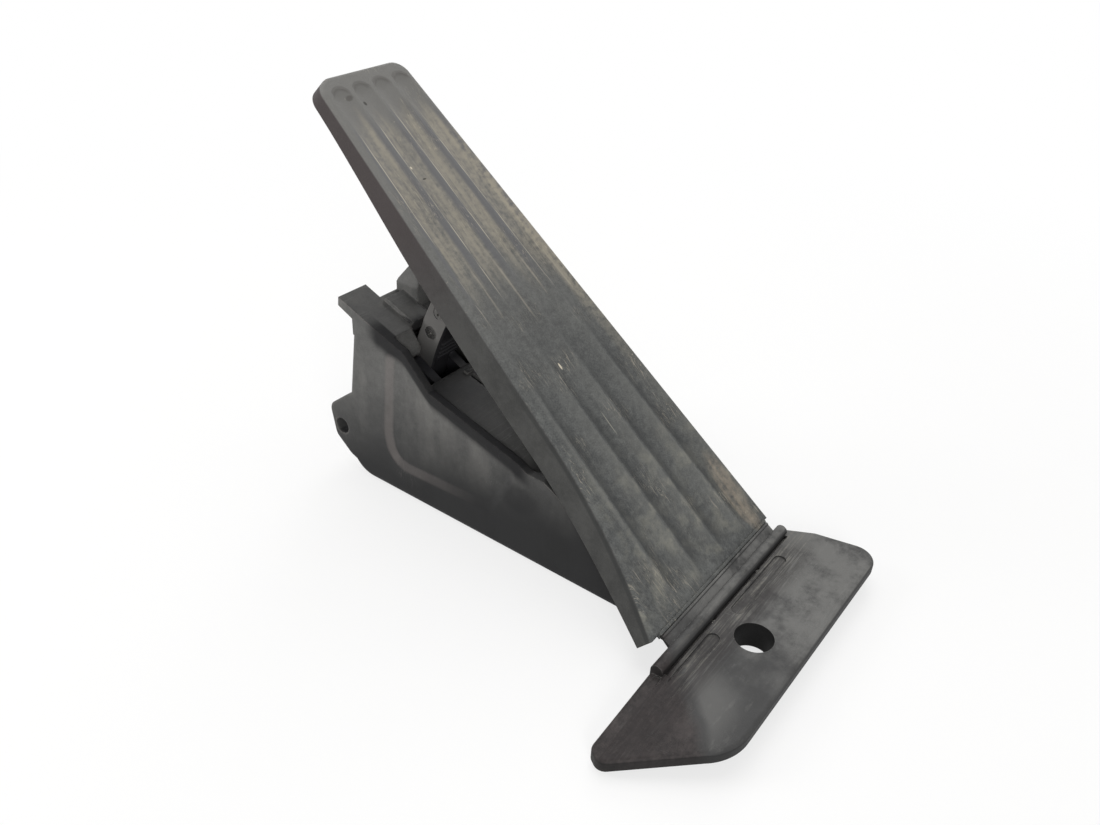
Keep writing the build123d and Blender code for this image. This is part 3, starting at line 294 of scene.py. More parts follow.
def mouldedPlastic(name, look):
    board = Board(name)
    place = board.place()
    soft = board.softNormal(look["soft"])
    cloud = board.noise(place, *look["cloud"])
    grain = board.noise(place, *look["grain"])
    scuffs = board.ramp(board.noise(place, *look["scuffs"]), *look["scuffRange"]) * look["scuff"]
    breaks = board.ramp(board.noise(place, *look["breaks"]), *look["breakRange"])
    rubbed = board.ramp(board.corners(soft), *look["cornerRange"]) * breaks
    colour = board.mix(cloud, look["tone"], lifted(look))
    colour = board.mix((scuffs + look["cornerShare"] * rubbed).clamped(), colour, look["worn"])
    # painted shade over the arm's faces that lie in shadow
    if "grease" in look:
        colour = board.mix(armGrease(board, place, look), colour, look["grease"])
    return board.moulded(look, colour, soft, dict(cloud=cloud.swing(), scuffs=scuffs, grain=grain))


finishes = {name: mouldedPlastic(name, plasticTexture | look) for name, look in plasticLooks.items()}

# the left wall's upper edge, front to rear: place along the housing and height
rimPath = [(0.0930, 0.0416), (0.1340, 0.0534), (0.1460, 0.0656), (0.1560, 0.0690)]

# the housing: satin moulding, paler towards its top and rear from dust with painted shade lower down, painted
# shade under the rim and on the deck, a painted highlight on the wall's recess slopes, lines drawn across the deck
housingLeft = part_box("housing")[0].x
housingLook = dict(
    # dusty is the pale tone of dust with painted shade: the wall stays darker low down and at the front
    tone=(0.017, 0.017, 0.0175), dusty=(0.122, 0.121, 0.117), worn=(0.215, 0.208, 0.195),
    grime=(0.010, 0.010, 0.011), line=(0.12, 0.12, 0.118), polish=(0.200, 0.180, 0.173),
    rough=0.46, depth=0.00003, soft=0.0016, gloss=0.10,
    cloud=(34.0, 4.0, 0.6), fine=(420.0, 4.0, 0.6), grain=(2400.0, 2.0),
    smear=((60.0, 90.0, 26.0), 4.0), smearRange=(0.42, 0.70),
    drawing=((40.0, 1300.0, 40.0), 3.0), lineRange=(0.58, 0.72),
    strokes=[((40.0, 700.0, 120.0), (0.4, 0.3, 0.0), 0.008)], scratchRange=(0.54, 0.66),
    cornerRange=(0.04, 0.25), breakRange=(0.36, 0.64),
    # dust and painted shade: paler by height, waved by the clouds and rising towards the rear, so the lower front
    # stays darker
    dustRange=(0.010, 0.060), dustWave=0.02, dustRise=0.12, dustMiddle=0.11,
    dustEven=0.7, dustShares=dict(cloud=0.7, fine=0.5, grain=0.5),
    # which faces: near the left side, looking left, looking up
    edgeRange=(housingLeft + 0.0048, housingLeft + 0.0038), wallRange=(-0.8, -0.9), deckRange=(0.75, 0.92),
    # painted shade below the rim, by the drop from it, between its front and its rear
    rimBand=(-0.004, -0.002, 0.0042, 0.0088), rimFront=(0.084, 0.092), rimRear=(0.166, 0.158),
    stainPlace=(0.0905, 0.0250), stainHalf=(0.010, 0.008), stainWave=0.016,
    # painted shade on the rear of the deck, and a painted shadow in the gap beside the mouth
    sootRange=(0.108, 0.132), sootWave=0.010, sootBelow=(0.057, 0.053), sootShare=0.75, gapShare=0.85,
    gapAcross=(0.0048, 0.0057, 0.0100, 0.0125), gapAlong=(0.150, 0.153, 0.170, 0.174),
    gapHeight=(0.062, 0.064, 0.0698, 0.0712),
    # painted highlight on the slopes round the wall's recess
    forwardRange=(-0.10, -0.33), upwardRange=(0.10, 0.32), upwardFrom=(0.108, 0.138), upwardShare=0.5,
    polishEven=0.15, polishCloud=0.4,
    # rubbed corners, spared under the rim's painted shade, with the scratches
    rubbedShare=0.30, rubbedSpared=0.8, scratchShare=0.15,
    # the deck, rear-deck and under-rim layers are painted shade and the slope layer a painted highlight; on faces
    # looking up the deck layer pulls back towards the bare tone, painted shade under the pad
    layers=dict(
        smear=("worn", 0.30), deck=("tone", 0.45), lines=("line", 0.22), soot=("grime", 1.0),
        stain=("grime", 0.4), polished=("polish", 1.0), under=("grime", 0.88), worn=("worn", 1.0),
    ),
    roughens=dict(under=0.3, cloud=0.16, smear=0.12, rubbed=-0.06),
    relief=dict(grain=1.0, fine=0.4, scratch=-0.5, lines=0.6),
)


# depth below the rim: its height is the first stretch, or the lower of the other two where that is higher
def rimDrop(y, z, rim):
    stretches = zip(rim, rim[1:])
    heights = [(y - low[0]) * ((high[1] - low[1]) / (high[0] - low[0])) + low[1] for low, high in stretches]
    return heights[0].most(heights[1].least(heights[2])) - z


# what lies on the left wall: painted shade under the rim, a stain, and a painted highlight on the slopes
def wallParts(board, look, rim, place, soft, cloud):
    x, y, z = board.axes(place)
    edge = board.ramp(x, *look["edgeRange"])
    wall = board.ramp(board.facing("X")[0], *look["wallRange"]) * edge
    # painted shade in a band below the rim
    under = board.band(rimDrop(y, z, rim), *look["rimBand"])
    under = under * board.ramp(y, *look["rimFront"]) * board.ramp(y, *look["rimRear"]) * edge
    wave = look["stainWave"] * cloud.swing()
    stain = board.spot(y + wave, z + wave, look["stainPlace"], look["stainHalf"]) * wall
    # painted highlight on the recess slopes that face forward and up
    forward, upward = board.axes(soft, "YZ")
    rising = board.ramp(upward, *look["upwardRange"]) * board.ramp(y, *look["upwardFrom"])
    slopes = board.ramp(forward, *look["forwardRange"]) + look["upwardShare"] * rising
    polished = wall * slopes.clamped()
    polished = polished * (look["polishEven"] + look["polishCloud"] * cloud)
    return dict(under=under, stain=stain, polished=polished)


# what lies on the deck: drawn lines, painted shade at its rear, and a painted shadow in the gap beside the mouth
def deckParts(board, look, place):
    x, y, z = board.axes(place)
    deck = board.ramp(board.facing("Z")[0], *look["deckRange"])
    drawn = board.noise(place, *look["drawing"])
    lines = board.ramp(drawn, *look["lineRange"]) * deck
    # painted shadow in the gap beside the mouth
    gap = board.band(x, *look["gapAcross"]) * board.band(y, *look["gapAlong"])
    gap = gap * board.band(z, *look["gapHeight"])
    # painted shade over the deck's rear, under the pad
    soot = deck * board.ramp(y + look["sootWave"] * drawn.swing(), *look["sootRange"])
    soot = soot * board.ramp(z, *look["sootBelow"])
    soot = (soot * look["sootShare"] + gap * look["gapShare"]).clamped()
    return dict(deck=deck, lines=lines, soot=soot)


def housingPlastic(look, rim):
    board = Board("housingPlastic")
    place = board.place()
    soft = board.softNormal(look["soft"])
    cloud, fine, grain = [board.noise(place, *look[name]) for name in ("cloud", "fine", "grain")]
    y, z = board.axes(place, "YZ")
    # paler with height and towards the rear: dust, with painted shade on the lower front
    level = z + look["dustWave"] * cloud.swing() + look["dustRise"] * (y - look["dustMiddle"])
    dusty = board.ramp(level, *look["dustRange"])
    smear = board.ramp(board.noise(place, *look["smear"]), *look["smearRange"])
    rubbed = board.ramp(board.corners(soft), *look["cornerRange"]) * board.ramp(fine, *look["breakRange"])
    scratch = board.scratches(place, look["strokes"]) * board.ramp(cloud, *look["scratchRange"])

    parts = wallParts(board, look, rim, place, soft, cloud) | deckParts(board, look, place)
    rubbedLeft = rubbed * look["rubbedShare"] * (1.0 - look["rubbedSpared"] * parts["under"])
    parts["worn"] = (rubbedLeft + scratch * look["scratchShare"]).clamped()
    parts["smear"] = smear * dusty
    swings = dict(cloud=cloud.swing(), fine=fine.swing(), grain=grain.swing())
    dust = (dusty * (look["dustEven"] + board.summed(look["dustShares"], swings))).clamped()
    colour = board.layered(board.mix(dust, look["tone"], look["dusty"]), look, parts)

    wear = dict(under=parts["under"], cloud=swings["cloud"], smear=smear, rubbed=rubbed)
    wear.update(grain=grain, fine=fine, scratch=scratch, lines=parts["lines"])
    return board.moulded(look, colour, soft, wear)


finishes["housingPlastic"] = housingPlastic(housingLook, rimPath)
print("plastics wired:", len(finishes))

# metals: drawn or ground steel, plated screws, tinned contacts
metalTexture = dict(
    streak=((300.0, 2600.0, 2600.0), 3.0), stain=(420.0, 5.0), stainRange=(0.45, 0.7),
    roughens=dict(stain=0.18, streak=0.1), depth=0.00001,
)
metalLooks = {
    "pinSteel": dict(tone=(0.55, 0.55, 0.56), dull=(0.34, 0.33, 0.32), rough=0.28),
    "springSteel": dict(tone=(0.30, 0.32, 0.36), dull=(0.16, 0.16, 0.17), rough=0.34),
    "screwSteel": dict(tone=(0.60, 0.59, 0.56), dull=(0.38, 0.37, 0.33), rough=0.36),
    "darkScrew": dict(tone=(0.30, 0.295, 0.285), dull=(0.17, 0.165, 0.155), rough=0.48),
    "contactMetal": dict(tone=(0.72, 0.64, 0.44), dull=(0.52, 0.44, 0.28), rough=0.26),
    "magnetMetal": dict(tone=(0.22, 0.22, 0.23), dull=(0.12, 0.12, 0.12), rough=0.5),
}


def wornMetal(name, look):
    board = Board(name)
    place = board.place()
    streak = board.noise(place, *look["streak"])
    stain = board.ramp(board.noise(place, *look["stain"]), *look["stainRange"])
    colour = board.mix(stain, look["tone"], look["dull"])
    rough = look["rough"] + board.summed(look["roughens"], dict(stain=stain, streak=streak.swing()))
    return board.finish(colour=colour, rough=rough, metal=1.0, normal=board.bump(streak, look["depth"]))


finishes.update({name: wornMetal(name, metalTexture | look) for name, look in metalLooks.items()})
print("metals wired:", len(metalLooks))

# the pad's own frame, as in the solids: hinge line and slope of the tread
padFrame = dict(hinge=joints["pedal_hinge"]["pos_m"], angle=40.9)

# its four flutes: pitch and middle at two heights along the tread, with shares of the pitch for places across
fluteFan = dict(
    topHeight=0.2055, topPitch=0.0096, topMiddle=0.0009,
    lowHeight=0.012, lowPitch=0.0156, lowMiddle=0.0082,
    sides=(-2.1, -1.95, 1.95, 2.1), leftEdge=0.14, rightEdge=0.62,
    bowlHeight=0.2062, bowlRadius=0.0042, bowlMiddle=0.36,
    bowlRing=(0.25, 0.7, 0.95, 1.25), bowlRise=(0.0, 0.5),  # squared distance and rise, in bowl radii
)

# the pad: dark moulding with dust in the upper flutes, rubbed flute edges and a dusty lower end
padLook = dict(
    tone=(0.046, 0.048, 0.048), cloudy=(0.096, 0.099, 0.096), upperTone=(0.142, 0.139, 0.132),
    # crease and shelf: tones of painted shade and painted highlight for the lower flutes
    land=(0.098, 0.098, 0.106), crease=(0.018, 0.019, 0.019), shelf=(0.135, 0.136, 0.129),
    film=(0.318, 0.288, 0.226), line=(0.38, 0.345, 0.28), lowDust=(0.215, 0.210, 0.178),
    rust=(0.26, 0.218, 0.168), speck=(0.62, 0.56, 0.44), pit=(0.022, 0.020, 0.018),
    # smudge also serves as the painted shade at the flutes' top ends
    smudge=(0.075, 0.070, 0.066),
    skirt=(0.029, 0.029, 0.028), skirtCloudy=(0.048, 0.048, 0.046), skirtWarm=(0.046, 0.037, 0.037),
    rough=0.60, depth=0.00009, soft=0.0006, gloss=0.18,
    cloud=(55.0, 5.0, 0.6), fine=(480.0, 4.0, 0.6), grain=(1900.0, 3.0), streak=((420.0, 26.0, 420.0), 4.0),
    cloudRange=(0.3, 0.7), cornerRange=(0.02, 0.16), breakRange=(0.3, 0.6),
    mottle=dict(cloud=0.4, fine=1.9, grain=1.8), fineFrom=0.42, grainFrom=0.46,
    # heights above the tread, and places along it from the hinge
    treadRange=(-0.0024, -0.0015), upperRange=(0.070, 0.200),
    # the dusty upper flutes: bands along the tread, waved, and bands across a flute
    wave=((160.0, 10.0, 160.0), 2.0), waveDepth=0.03, dustAlong=(0.116, 0.142, 0.187, 0.201),
    filmAcross=(0.02, 0.08, 0.60, 0.76), filmShares=dict(streak=0.6, fine=0.4), filmRange=(0.34, 0.62),
    landAcross=(0.64, 0.76, 0.94, 0.99),
    marginRange=(1.55, 1.85), marginAlong=(0.060, 0.135, 0.170, 0.194),
    marginShares=dict(streak=0.5, fine=0.5), marginBreak=(0.34, 0.58),
    # rubbed edges: distance from an edge in metres, and bands along the tread
    leftWidth=(0.00042, 0.00012), leftAlong=(0.112, 0.128, 0.186, 0.198),
    rightWidth=(0.0005, 0.00015), rightAlong=(0.106, 0.116, 0.128, 0.146), rightShare=0.35,
    broken=((300.0, 60.0, 300.0), 3.0), brokenRange=(0.36, 0.58),
    # the lower flutes: painted shade in a crease at the left edge, a painted highlight on the shelf before the
    # next one, dust and rust
    lowAlong=(0.004, 0.014, 0.060, 0.118), fineWave=0.05, creaseAcross=(0.0, 0.07, 0.10, 0.46),
    shelfRise=(0.35, 0.92), shelfEnd=(1.0, 0.93),
    clump=(120.0, 5.0, 0.6), clumpRange=(0.42, 0.68), dustLow=(0.002, 0.010, 0.026, 0.070),
    dustEven=0.25, dustShelf=0.75, dustShelfRise=(0.3, 0.9),
    rustPlace=(0.0330, 0.017), rustHalf=(0.0052, 0.021),
    rustShares=dict(fine=0.5, streak=0.5), rustRange=(0.26, 0.66),
    # scratches and pale dots
    strokes=[((700.0, 60.0, 1.0), (0, 0, 0.5), 0.012), ((900.0, 90.0, 1.0), (0, 0, -0.8), 0.010)],
    strokePatches=(42.0, 2.0), strokeRange=(0.48, 0.64),
    dotScale=210.0, dotRange=(0.10, 0.05), dotPatches=(90.0, 2.0), dotPatchRange=(0.60, 0.68),
    # the skirt: warmer towards the top, with a line of painted shade below the tread's lower half
    skirtShares=dict(cloud=1.0, fine=1.2, grain=0.8), warmRange=(0.110, 0.170), warmStrength=0.8,
    gullyBand=(-0.0046, -0.0036, -0.0028, -0.0020), gullyWave=0.0006, gullyRange=(0.110, 0.070),
    gullyStrength=0.6, rubbedStrength=0.22, markStrength=0.8,
    # the bowl and crease layers are painted shade, the shelf layer a painted highlight
    layers=dict(
        upper=("upperTone", 0.85), lands=("land", 0.6), bowl=("smudge", 0.55), crease=("crease", 0.6),
        shelf=("shelf", 0.4), lowDust=("lowDust", 0.62), film=("film", 0.5), margin=("film", 0.62),
        rust=("rust", 0.6), line=("line", 0.75), scratch=("line", 0.34), dots=("speck", 0.3),
    ),
    roughens=dict(dusty=0.12, cloud=0.14, line=-0.1),
    relief=dict(grain=1.0, fine=0.5, scratch=-0.8, dustGrain=0.6),
)
# single marks on the tread: place across and along it, half sizes, and tone
padMarks = [
    dict(place=(-0.0061, 0.1751), half=(0.0006, 0.0007), tone="speck"),
    dict(place=(-0.0021, 0.0906), half=(0.0005, 0.0016), tone="speck"),
    dict(place=(-0.0061, 0.2022), half=(0.0010, 0.0010), tone="pit"),
    dict(place=(-0.0110, 0.2055), half=(0.0016, 0.0013), tone="smudge"),
    dict(place=(-0.0034, 0.1700), half=(0.0011, 0.0004), tone="pit"),
    dict(place=(0.0013, 0.0650), half=(0.00022, 0.0060), tone="lowDust"),
]


# place on the pad: across from the hinge's middle, along the tread from the hinge line, and above the tread
def padAxes(board, place, pad):
    x, y, z = board.axes(place)
    slope = radians(pad["angle"])
    ahead = y - pad["hinge"][1]
    above = z - pad["hinge"][2]
    along = ahead * cos(slope) + above * sin(slope)
    lift = above * cos(slope) - ahead * sin(slope)
    return dict(across=x - pad["hinge"][0], along=along, lift=lift)


# flutes counted from the fan's middle: place across over the pitch at that height; a step runs from one
# flute's left edge at 0 to the next left edge at 1
def fluteAxes(board, at, fan):
    share = (at["along"] - fan["lowHeight"]) * (1.0 / (fan["topHeight"] - fan["lowHeight"]))
    pitch = share * (fan["topPitch"] - fan["lowPitch"]) + fan["lowPitch"]
    middle = share * (fan["topMiddle"] - fan["lowMiddle"]) + fan["lowMiddle"]
    beat = (at["across"] - middle) / pitch
    step = (beat - fan["leftEdge"]).fraction()
    return dict(pitch=pitch, beat=beat, step=step, inFan=board.band(beat, *fan["sides"]))


# the upper flutes: film of dust, dark lands between, rubbed edges and the dusty right margin
def upperParts(board, look, fan, at):
    step, pitch, inFan = at["step"], at["pitch"], at["inFan"]
    wavy = at["along"] + look["waveDepth"] * board.noise(at["flat"], *look["wave"]).swing()
    upper = board.band(wavy, *look["dustAlong"])
    speckled = board.ramp(board.summed(look["filmShares"], at), *look["filmRange"])
    film = board.band(step, *look["filmAcross"]) * inFan * upper * speckled
    lands = board.band(step, *look["landAcross"]) * inFan * upper
    # distance from the nearest left edge: half a step less the distance from the step's middle
    leftGap = (0.5 - (step - 0.5).absolute()) * pitch
    rightGap = (step - fan["rightEdge"]).absolute() * pitch
    leftLine = board.ramp(leftGap, *look["leftWidth"]) * board.band(wavy, *look["leftAlong"])
    rightLine = board.ramp(rightGap, *look["rightWidth"]) * board.band(wavy, *look["rightAlong"])
    broken = board.ramp(board.noise(at["flat"], *look["broken"]), *look["brokenRange"])
    line = (leftLine + look["rightShare"] * rightLine).clamped() * inFan * broken
    margin = board.ramp(at["beat"], *look["marginRange"]) * board.band(wavy, *look["marginAlong"])
    margin = margin * board.ramp(board.summed(look["marginShares"], at), *look["marginBreak"])
    return dict(film=film, lands=lands, line=line, margin=margin)


# painted shade at the flutes' top ends: rings about their bowls, upper halves only
def bowlParts(board, fan, at):
    aside = (at["step"] - fan["bowlMiddle"]) * at["pitch"] * (1.0 / fan["bowlRadius"])
    above = (at["along"] - fan["bowlHeight"]) * (1.0 / fan["bowlRadius"])
    # painted shade ring about each bowl
    ring = board.band(aside * aside + above * above, *fan["bowlRing"])
    return dict(bowl=ring * board.ramp(above, *fan["bowlRise"]) * at["inFan"])


def lowerParts(board, look, at):
    step, along = at["step"], at["along"]
    lower = board.band(along, *look["lowAlong"]) * at["inFan"]
    waved = step + look["fineWave"] * at["fine"].swing()
    # painted shade in each lower flute's crease
    crease = board.band(waved, *look["creaseAcross"]) * lower
    # painted highlight on the shelf before the next crease
    shelf = board.ramp(step, *look["shelfRise"]) * board.ramp(waved, *look["shelfEnd"]) * lower
    clump = board.ramp(board.noise(at["flat"], *look["clump"]), *look["clumpRange"])
    shelved = look["dustEven"] + look["dustShelf"] * board.ramp(step, *look["dustShelfRise"])
    lowDust = board.band(along, *look["dustLow"]) * clump * shelved
    rust = board.spot(at["across"], along, look["rustPlace"], look["rustHalf"])
    rust = rust * board.ramp(board.summed(look["rustShares"], at), *look["rustRange"])
    return dict(crease=crease, shelf=shelf, lowDust=lowDust, rust=rust)


def skirtTone(board, look, at, swings):
    parts = dict(swings, cloud=at["clouded"])
    side = board.mix(board.summed(look["skirtShares"], parts).clamped(), look["skirt"], look["skirtCloudy"])
    warm = board.ramp(at["along"], *look["warmRange"])
    side = board.mix(warm * look["warmStrength"], side, look["skirtWarm"])
    # painted shade along the skirt just below the tread's edge
    gully = board.band(at["lift"] + look["gullyWave"] * swings["fine"], *look["gullyBand"])
    gully = gully * board.ramp(at["along"], *look["gullyRange"])
    return board.mix(gully * look["gullyStrength"], side, look["crease"])


def padPlastic(look, marks, pad, fan):
    board = Board("padPlastic")
    place = board.place()
    at = padAxes(board, place, pad)
    at["flat"] = board.node("CombineXYZ", {}, {0: at["across"], 1: at["along"], 2: at["lift"]})
    at.update(fluteAxes(board, at, fan))
    cloud, fine, grain = [board.noise(place, *look[name]) for name in ("cloud", "fine", "grain")]
    at.update(clouded=board.ramp(cloud, *look["cloudRange"]), fine=fine)
    at["streak"] = board.noise(at["flat"], *look["streak"])
    swings = dict(cloud=cloud.swing(), fine=fine.swing(), grain=grain.swing())
    tread = board.ramp(at["lift"], *look["treadRange"])
    soft = board.softNormal(look["soft"])
    rubbed = board.ramp(board.corners(soft), *look["cornerRange"]) * board.ramp(fine, *look["breakRange"])

    parts = upperParts(board, look, fan, at) | bowlParts(board, fan, at) | lowerParts(board, look, at)
    parts["upper"] = board.ramp(at["along"], *look["upperRange"])
    patches = board.ramp(board.noise(at["flat"], *look["strokePatches"]), *look["strokeRange"])
    parts["scratch"] = board.scratches(at["flat"], look["strokes"]) * patches * tread
    patches = board.ramp(board.noise(at["flat"], *look["dotPatches"]), *look["dotPatchRange"])
    parts["dots"] = board.ramp(board.cells(at["flat"], look["dotScale"]), *look["dotRange"]) * patches

    mottleParts = dict(cloud=at["clouded"], fine=fine - look["fineFrom"], grain=grain - look["grainFrom"])
    mottle = board.summed(look["mottle"], mottleParts).clamped()
    colour = board.layered(board.mix(mottle, look["tone"], look["cloudy"]), look, parts)
    for mark in marks:
        spot = board.spot(at["across"], at["along"], mark["place"], mark["half"])
        colour = board.mix(spot * look["markStrength"], colour, look[mark["tone"]])
    colour = board.mix(tread, skirtTone(board, look, at, swings), colour)
    colour = board.mix(rubbed * look["rubbedStrength"], colour, look["lowDust"])

    dusty = sum(parts[name] for name in ("film", "margin", "lowDust", "rust")).clamped()
    wear = dict(dusty=dusty, cloud=swings["cloud"], line=parts["line"])
    wear.update(grain=grain, fine=fine, scratch=parts["scratch"], dustGrain=dusty * fine)
    return board.moulded(look, colour, soft, wear)


finishes["padPlastic"] = padPlastic(padLook, padMarks, padFrame, fluteFan)

# the foot plate: same moulding, walked pale on its flat, with painted shade on the sloped left wing, its upright
# sides and the hole's wall, and a painted highlight on the crest before the wing's crease
holeReach = mounts["foot_bolt"]["dims"]["r_mm"] / 1000 + 0.0006  # just past the hole's wall
footLook = dict(
    tone=(0.036, 0.036, 0.036), walked=(0.142, 0.141, 0.136), wing=(0.017, 0.014, 0.014),
    wingPale=(0.042, 0.035, 0.034), pale=(0.18, 0.178, 0.17), dust=(0.17, 0.158, 0.13),
    dark=(0.006, 0.006, 0.006),
    rough=0.56, depth=0.00006, soft=0.0007, gloss=0.14,
    cloud=(60.0, 5.0, 0.6), fine=(520.0, 4.0, 0.6), grain=(2100.0, 3.0),
    cloudRange=(0.3, 0.7), cloudLift=1.3, cornerRange=(0.02, 0.18), breakRange=(0.32, 0.6),
    topRange=(0.55, 0.85), sideRange=(0.5, 0.2),
    # the walked flat: from left to right, waved and broken by the clouds
    walkedWave=0.05, walkedAcross=(-0.030, 0.026), walkedFine=0.3, walkedRange=(0.30, 0.62),
    # the wing's painted shade: a point of its crease, the crease's outward normal, and distances past it
    creasePoint=(-0.0334, 0.0077), outward=(-0.721, 0.693), wingWave=0.006, wingRange=(-0.0025, 0.0035),
    wingShares=dict(cloud=0.4, fine=0.4, grain=0.2), wingPaleRange=(0.40, 0.64),
    crestWave=0.008, crestBand=(-0.022, -0.010, -0.005, -0.001), crestAcross=(-0.012, -0.030),
    crestAlong=(-0.016, -0.004),
    # painted shade on the hole's wall: squared distances from its middle, on faces that don't look up
    holeRange=(holeReach ** 2, 0.92 * holeReach ** 2), holeFacing=(0.6, 0.3),
    streaks=((110.0, 330.0, 200.0), 5.0, 0.65, (0, 0, 0.35)), scuffRange=(0.55, 0.72), scuffSpared=0.6,
    strokes=[((60.0, 800.0, 1.0), (0, 0, 0.6), 0.010), ((900.0, 80.0, 1.0), (0, 0, 0.2), 0.010)],
    strokePatches=(48.0, 2.0), strokeRange=(0.50, 0.66),
    scratchShare=0.25, scratchSpared=0.8, rubbedShare=0.4,
    # dark lines worked in beside the bead, with dust along the seam
    lined=((60.0, 1500.0, 200.0), 4.0, 0.6), workedWave=0.004, workedAlong=(-0.001, 0.006, 0.0145, 0.0155),
    workedAcross=(0.062, 0.040), workedRange=(0.70, 0.44),
    seamAlong=(0.004, 0.009, 0.014, 0.018), seamLined=(0.48, 0.66), seamBreak=(0.35, 0.6),
    # the wing, sides and hole layers are painted shade, the crest layer a painted highlight
    layers=dict(
        walked=("walked", 0.8), crest=("walked", 0.42), wing=("wingTone", 0.85), scuff=("pale", 0.2),
        worked=("wing", 0.62), seam=("dust", 0.42), worn=("pale", 1.0), sides=("dark", 0.6),
        hole=("dark", 1.0),
    ),
    roughens=dict(cloud=0.14, walked=0.1, rubbed=-0.12),
    relief=dict(grain=1.0, fine=0.5, scratch=-0.8),
)


# painted shade on the wing beyond the crease and a painted highlight on the crest before it, by the offset from a
# point of the crease along its outward normal
def wingParts(board, look, x, y, cloud):
    point, outward = look["creasePoint"], look["outward"]
    past = (x - point[0]) * outward[0] + (y - point[1]) * outward[1]
    # painted shade on the wing, and a painted highlight on the crest
    wing = board.ramp(past + look["wingWave"] * cloud.swing(), *look["wingRange"])
    crest = board.band(past + look["crestWave"] * cloud.swing(), *look["crestBand"])
    crest = crest * board.ramp(x, *look["crestAcross"]) * board.ramp(y, *look["crestAlong"])
    return dict(wing=wing, crest=crest)


# the lines beside the bead and the dust along the seam
def beadParts(board, look, place, x, y, fine):
    lined = board.noise(place, *look["lined"])
    worked = board.band(y + look["workedWave"] * lined.swing(), *look["workedAlong"])
    worked = worked * board.ramp(x, *look["workedAcross"]) * board.ramp(lined, *look["workedRange"])
    seam = board.band(y, *look["seamAlong"]) * board.ramp(lined, *look["seamLined"])
    seam = seam * board.ramp(fine, *look["seamBreak"])
    return dict(worked=worked, seam=seam)


def footPlastic(look):
    board = Board("footPlastic")
    place = board.place()
    x, y = board.axes(place, "XY")
    upright = board.facing("Z")[0]
    top = board.ramp(upright, *look["topRange"])
    cloud, fine, grain = [board.noise(place, *look[name]) for name in ("cloud", "fine", "grain")]
    soft = board.softNormal(look["soft"])
    rubbed = board.ramp(board.corners(soft), *look["cornerRange"]) * board.ramp(fine, *look["breakRange"])
    patches = board.ramp(board.noise(place, *look["strokePatches"]), *look["strokeRange"])
    scratch = board.scratches(place, look["strokes"]) * patches * top

    parts = wingParts(board, look, x, y, cloud) | beadParts(board, look, place, x, y, fine)
    offWing = 1.0 - parts["wing"]
    parts["crest"] = parts["crest"] * top
    parts["worked"] = parts["worked"] * top
    parts["seam"] = parts["seam"] * top * offWing
    walked = board.ramp(x + look["walkedWave"] * cloud.swing(), *look["walkedAcross"])
    patchy = board.ramp(cloud + look["walkedFine"] * fine.swing(), *look["walkedRange"])
    parts["walked"] = walked * patchy * top
    scuff = board.ramp(board.noise(place, *look["streaks"]), *look["scuffRange"])
    parts["scuff"] = scuff * top * (1.0 - look["scuffSpared"] * parts["wing"])
    scratchLeft = scratch * look["scratchShare"] * (1.0 - look["scratchSpared"] * parts["wing"])
    parts["worn"] = (scratchLeft + rubbed * look["rubbedShare"]).clamped()
    # painted shade on faces that don't look up
    parts["sides"] = board.ramp(upright, *look["sideRange"])
    # painted shade on the hole's wall
    parts["hole"] = board.ramp(x * x + y * y, *look["holeRange"]) * board.ramp(upright, *look["holeFacing"])

    noises = dict(cloud=cloud, fine=fine, grain=grain)
    paler = board.ramp(board.summed(look["wingShares"], noises), *look["wingPaleRange"])
    tones = dict(look, wingTone=board.mix(paler, look["wing"], look["wingPale"]))
    colour = board.mix(board.ramp(cloud, *look["cloudRange"]), look["tone"], lifted(look))
    colour = board.layered(colour, tones, parts)

    wear = dict(noises, cloud=cloud.swing(), walked=parts["walked"], rubbed=rubbed, scratch=scratch)
    return board.moulded(look, colour, soft, wear)


finishes["footPlastic"] = footPlastic(footLook)
print("pad and foot plate wired")

# the sensor's circuit board: green mask over raised copper tracks
boardLook = dict(
    mask=(0.02, 0.13, 0.055), copper=(0.05, 0.22, 0.10), rough=0.32,
    trackScale=320.0, trackRange=(0.06, 0.03), trackRough=0.1, depth=0.00003,
)


def circuitBoard(look):
    board = Board("circuitBoard")
    gaps = board.cells(board.place(), look["trackScale"], feature="DISTANCE_TO_EDGE")
    track = board.ramp(gaps, *look["trackRange"])
    colour = board.mix(track, look["mask"], look["copper"])
    rough = look["rough"] + look["trackRough"] * track
    return board.finish(colour=colour, rough=rough, normal=board.bump(track, look["depth"]))


finishes["circuitBoard"] = circuitBoard(boardLook)

wears = {
    "housing": "housingPlastic", "base_plate": "basePlastic", "sensor_cover": "coverPlastic",
    "push_arm": "armPlastic", "sensor_lever": "leverPlastic", "bush_left": "bushPlastic",
    "bush_right": "bushPlastic", "sensor_chip": "chipPlastic", "stop_bumper": "stopRubber",
    "sensor_seal": "sealRubber", "arm_pin": "pinSteel", "drive_pin": "pinSteel", "lever_shaft": "pinSteel",
    "outer_spring": "springSteel", "inner_spring": "springSteel", "pin_clip": "springSteel",
    "base_screws": "screwSteel", "toe_screws": "screwSteel", "cover_screws": "screwSteel",
    "arm_screws": "darkScrew", "connector_pins": "contactMetal", "magnet": "magnetMetal",
    "sensor_board": "circuitBoard", "pedal_plate": "padPlastic", "foot_plate": "footPlastic",
}
for name, finish in wears.items():
    nodes[name].data.materials.clear()
    nodes[name].data.materials.append(finishes[finish])
print("pieces dressed:", len(wears))

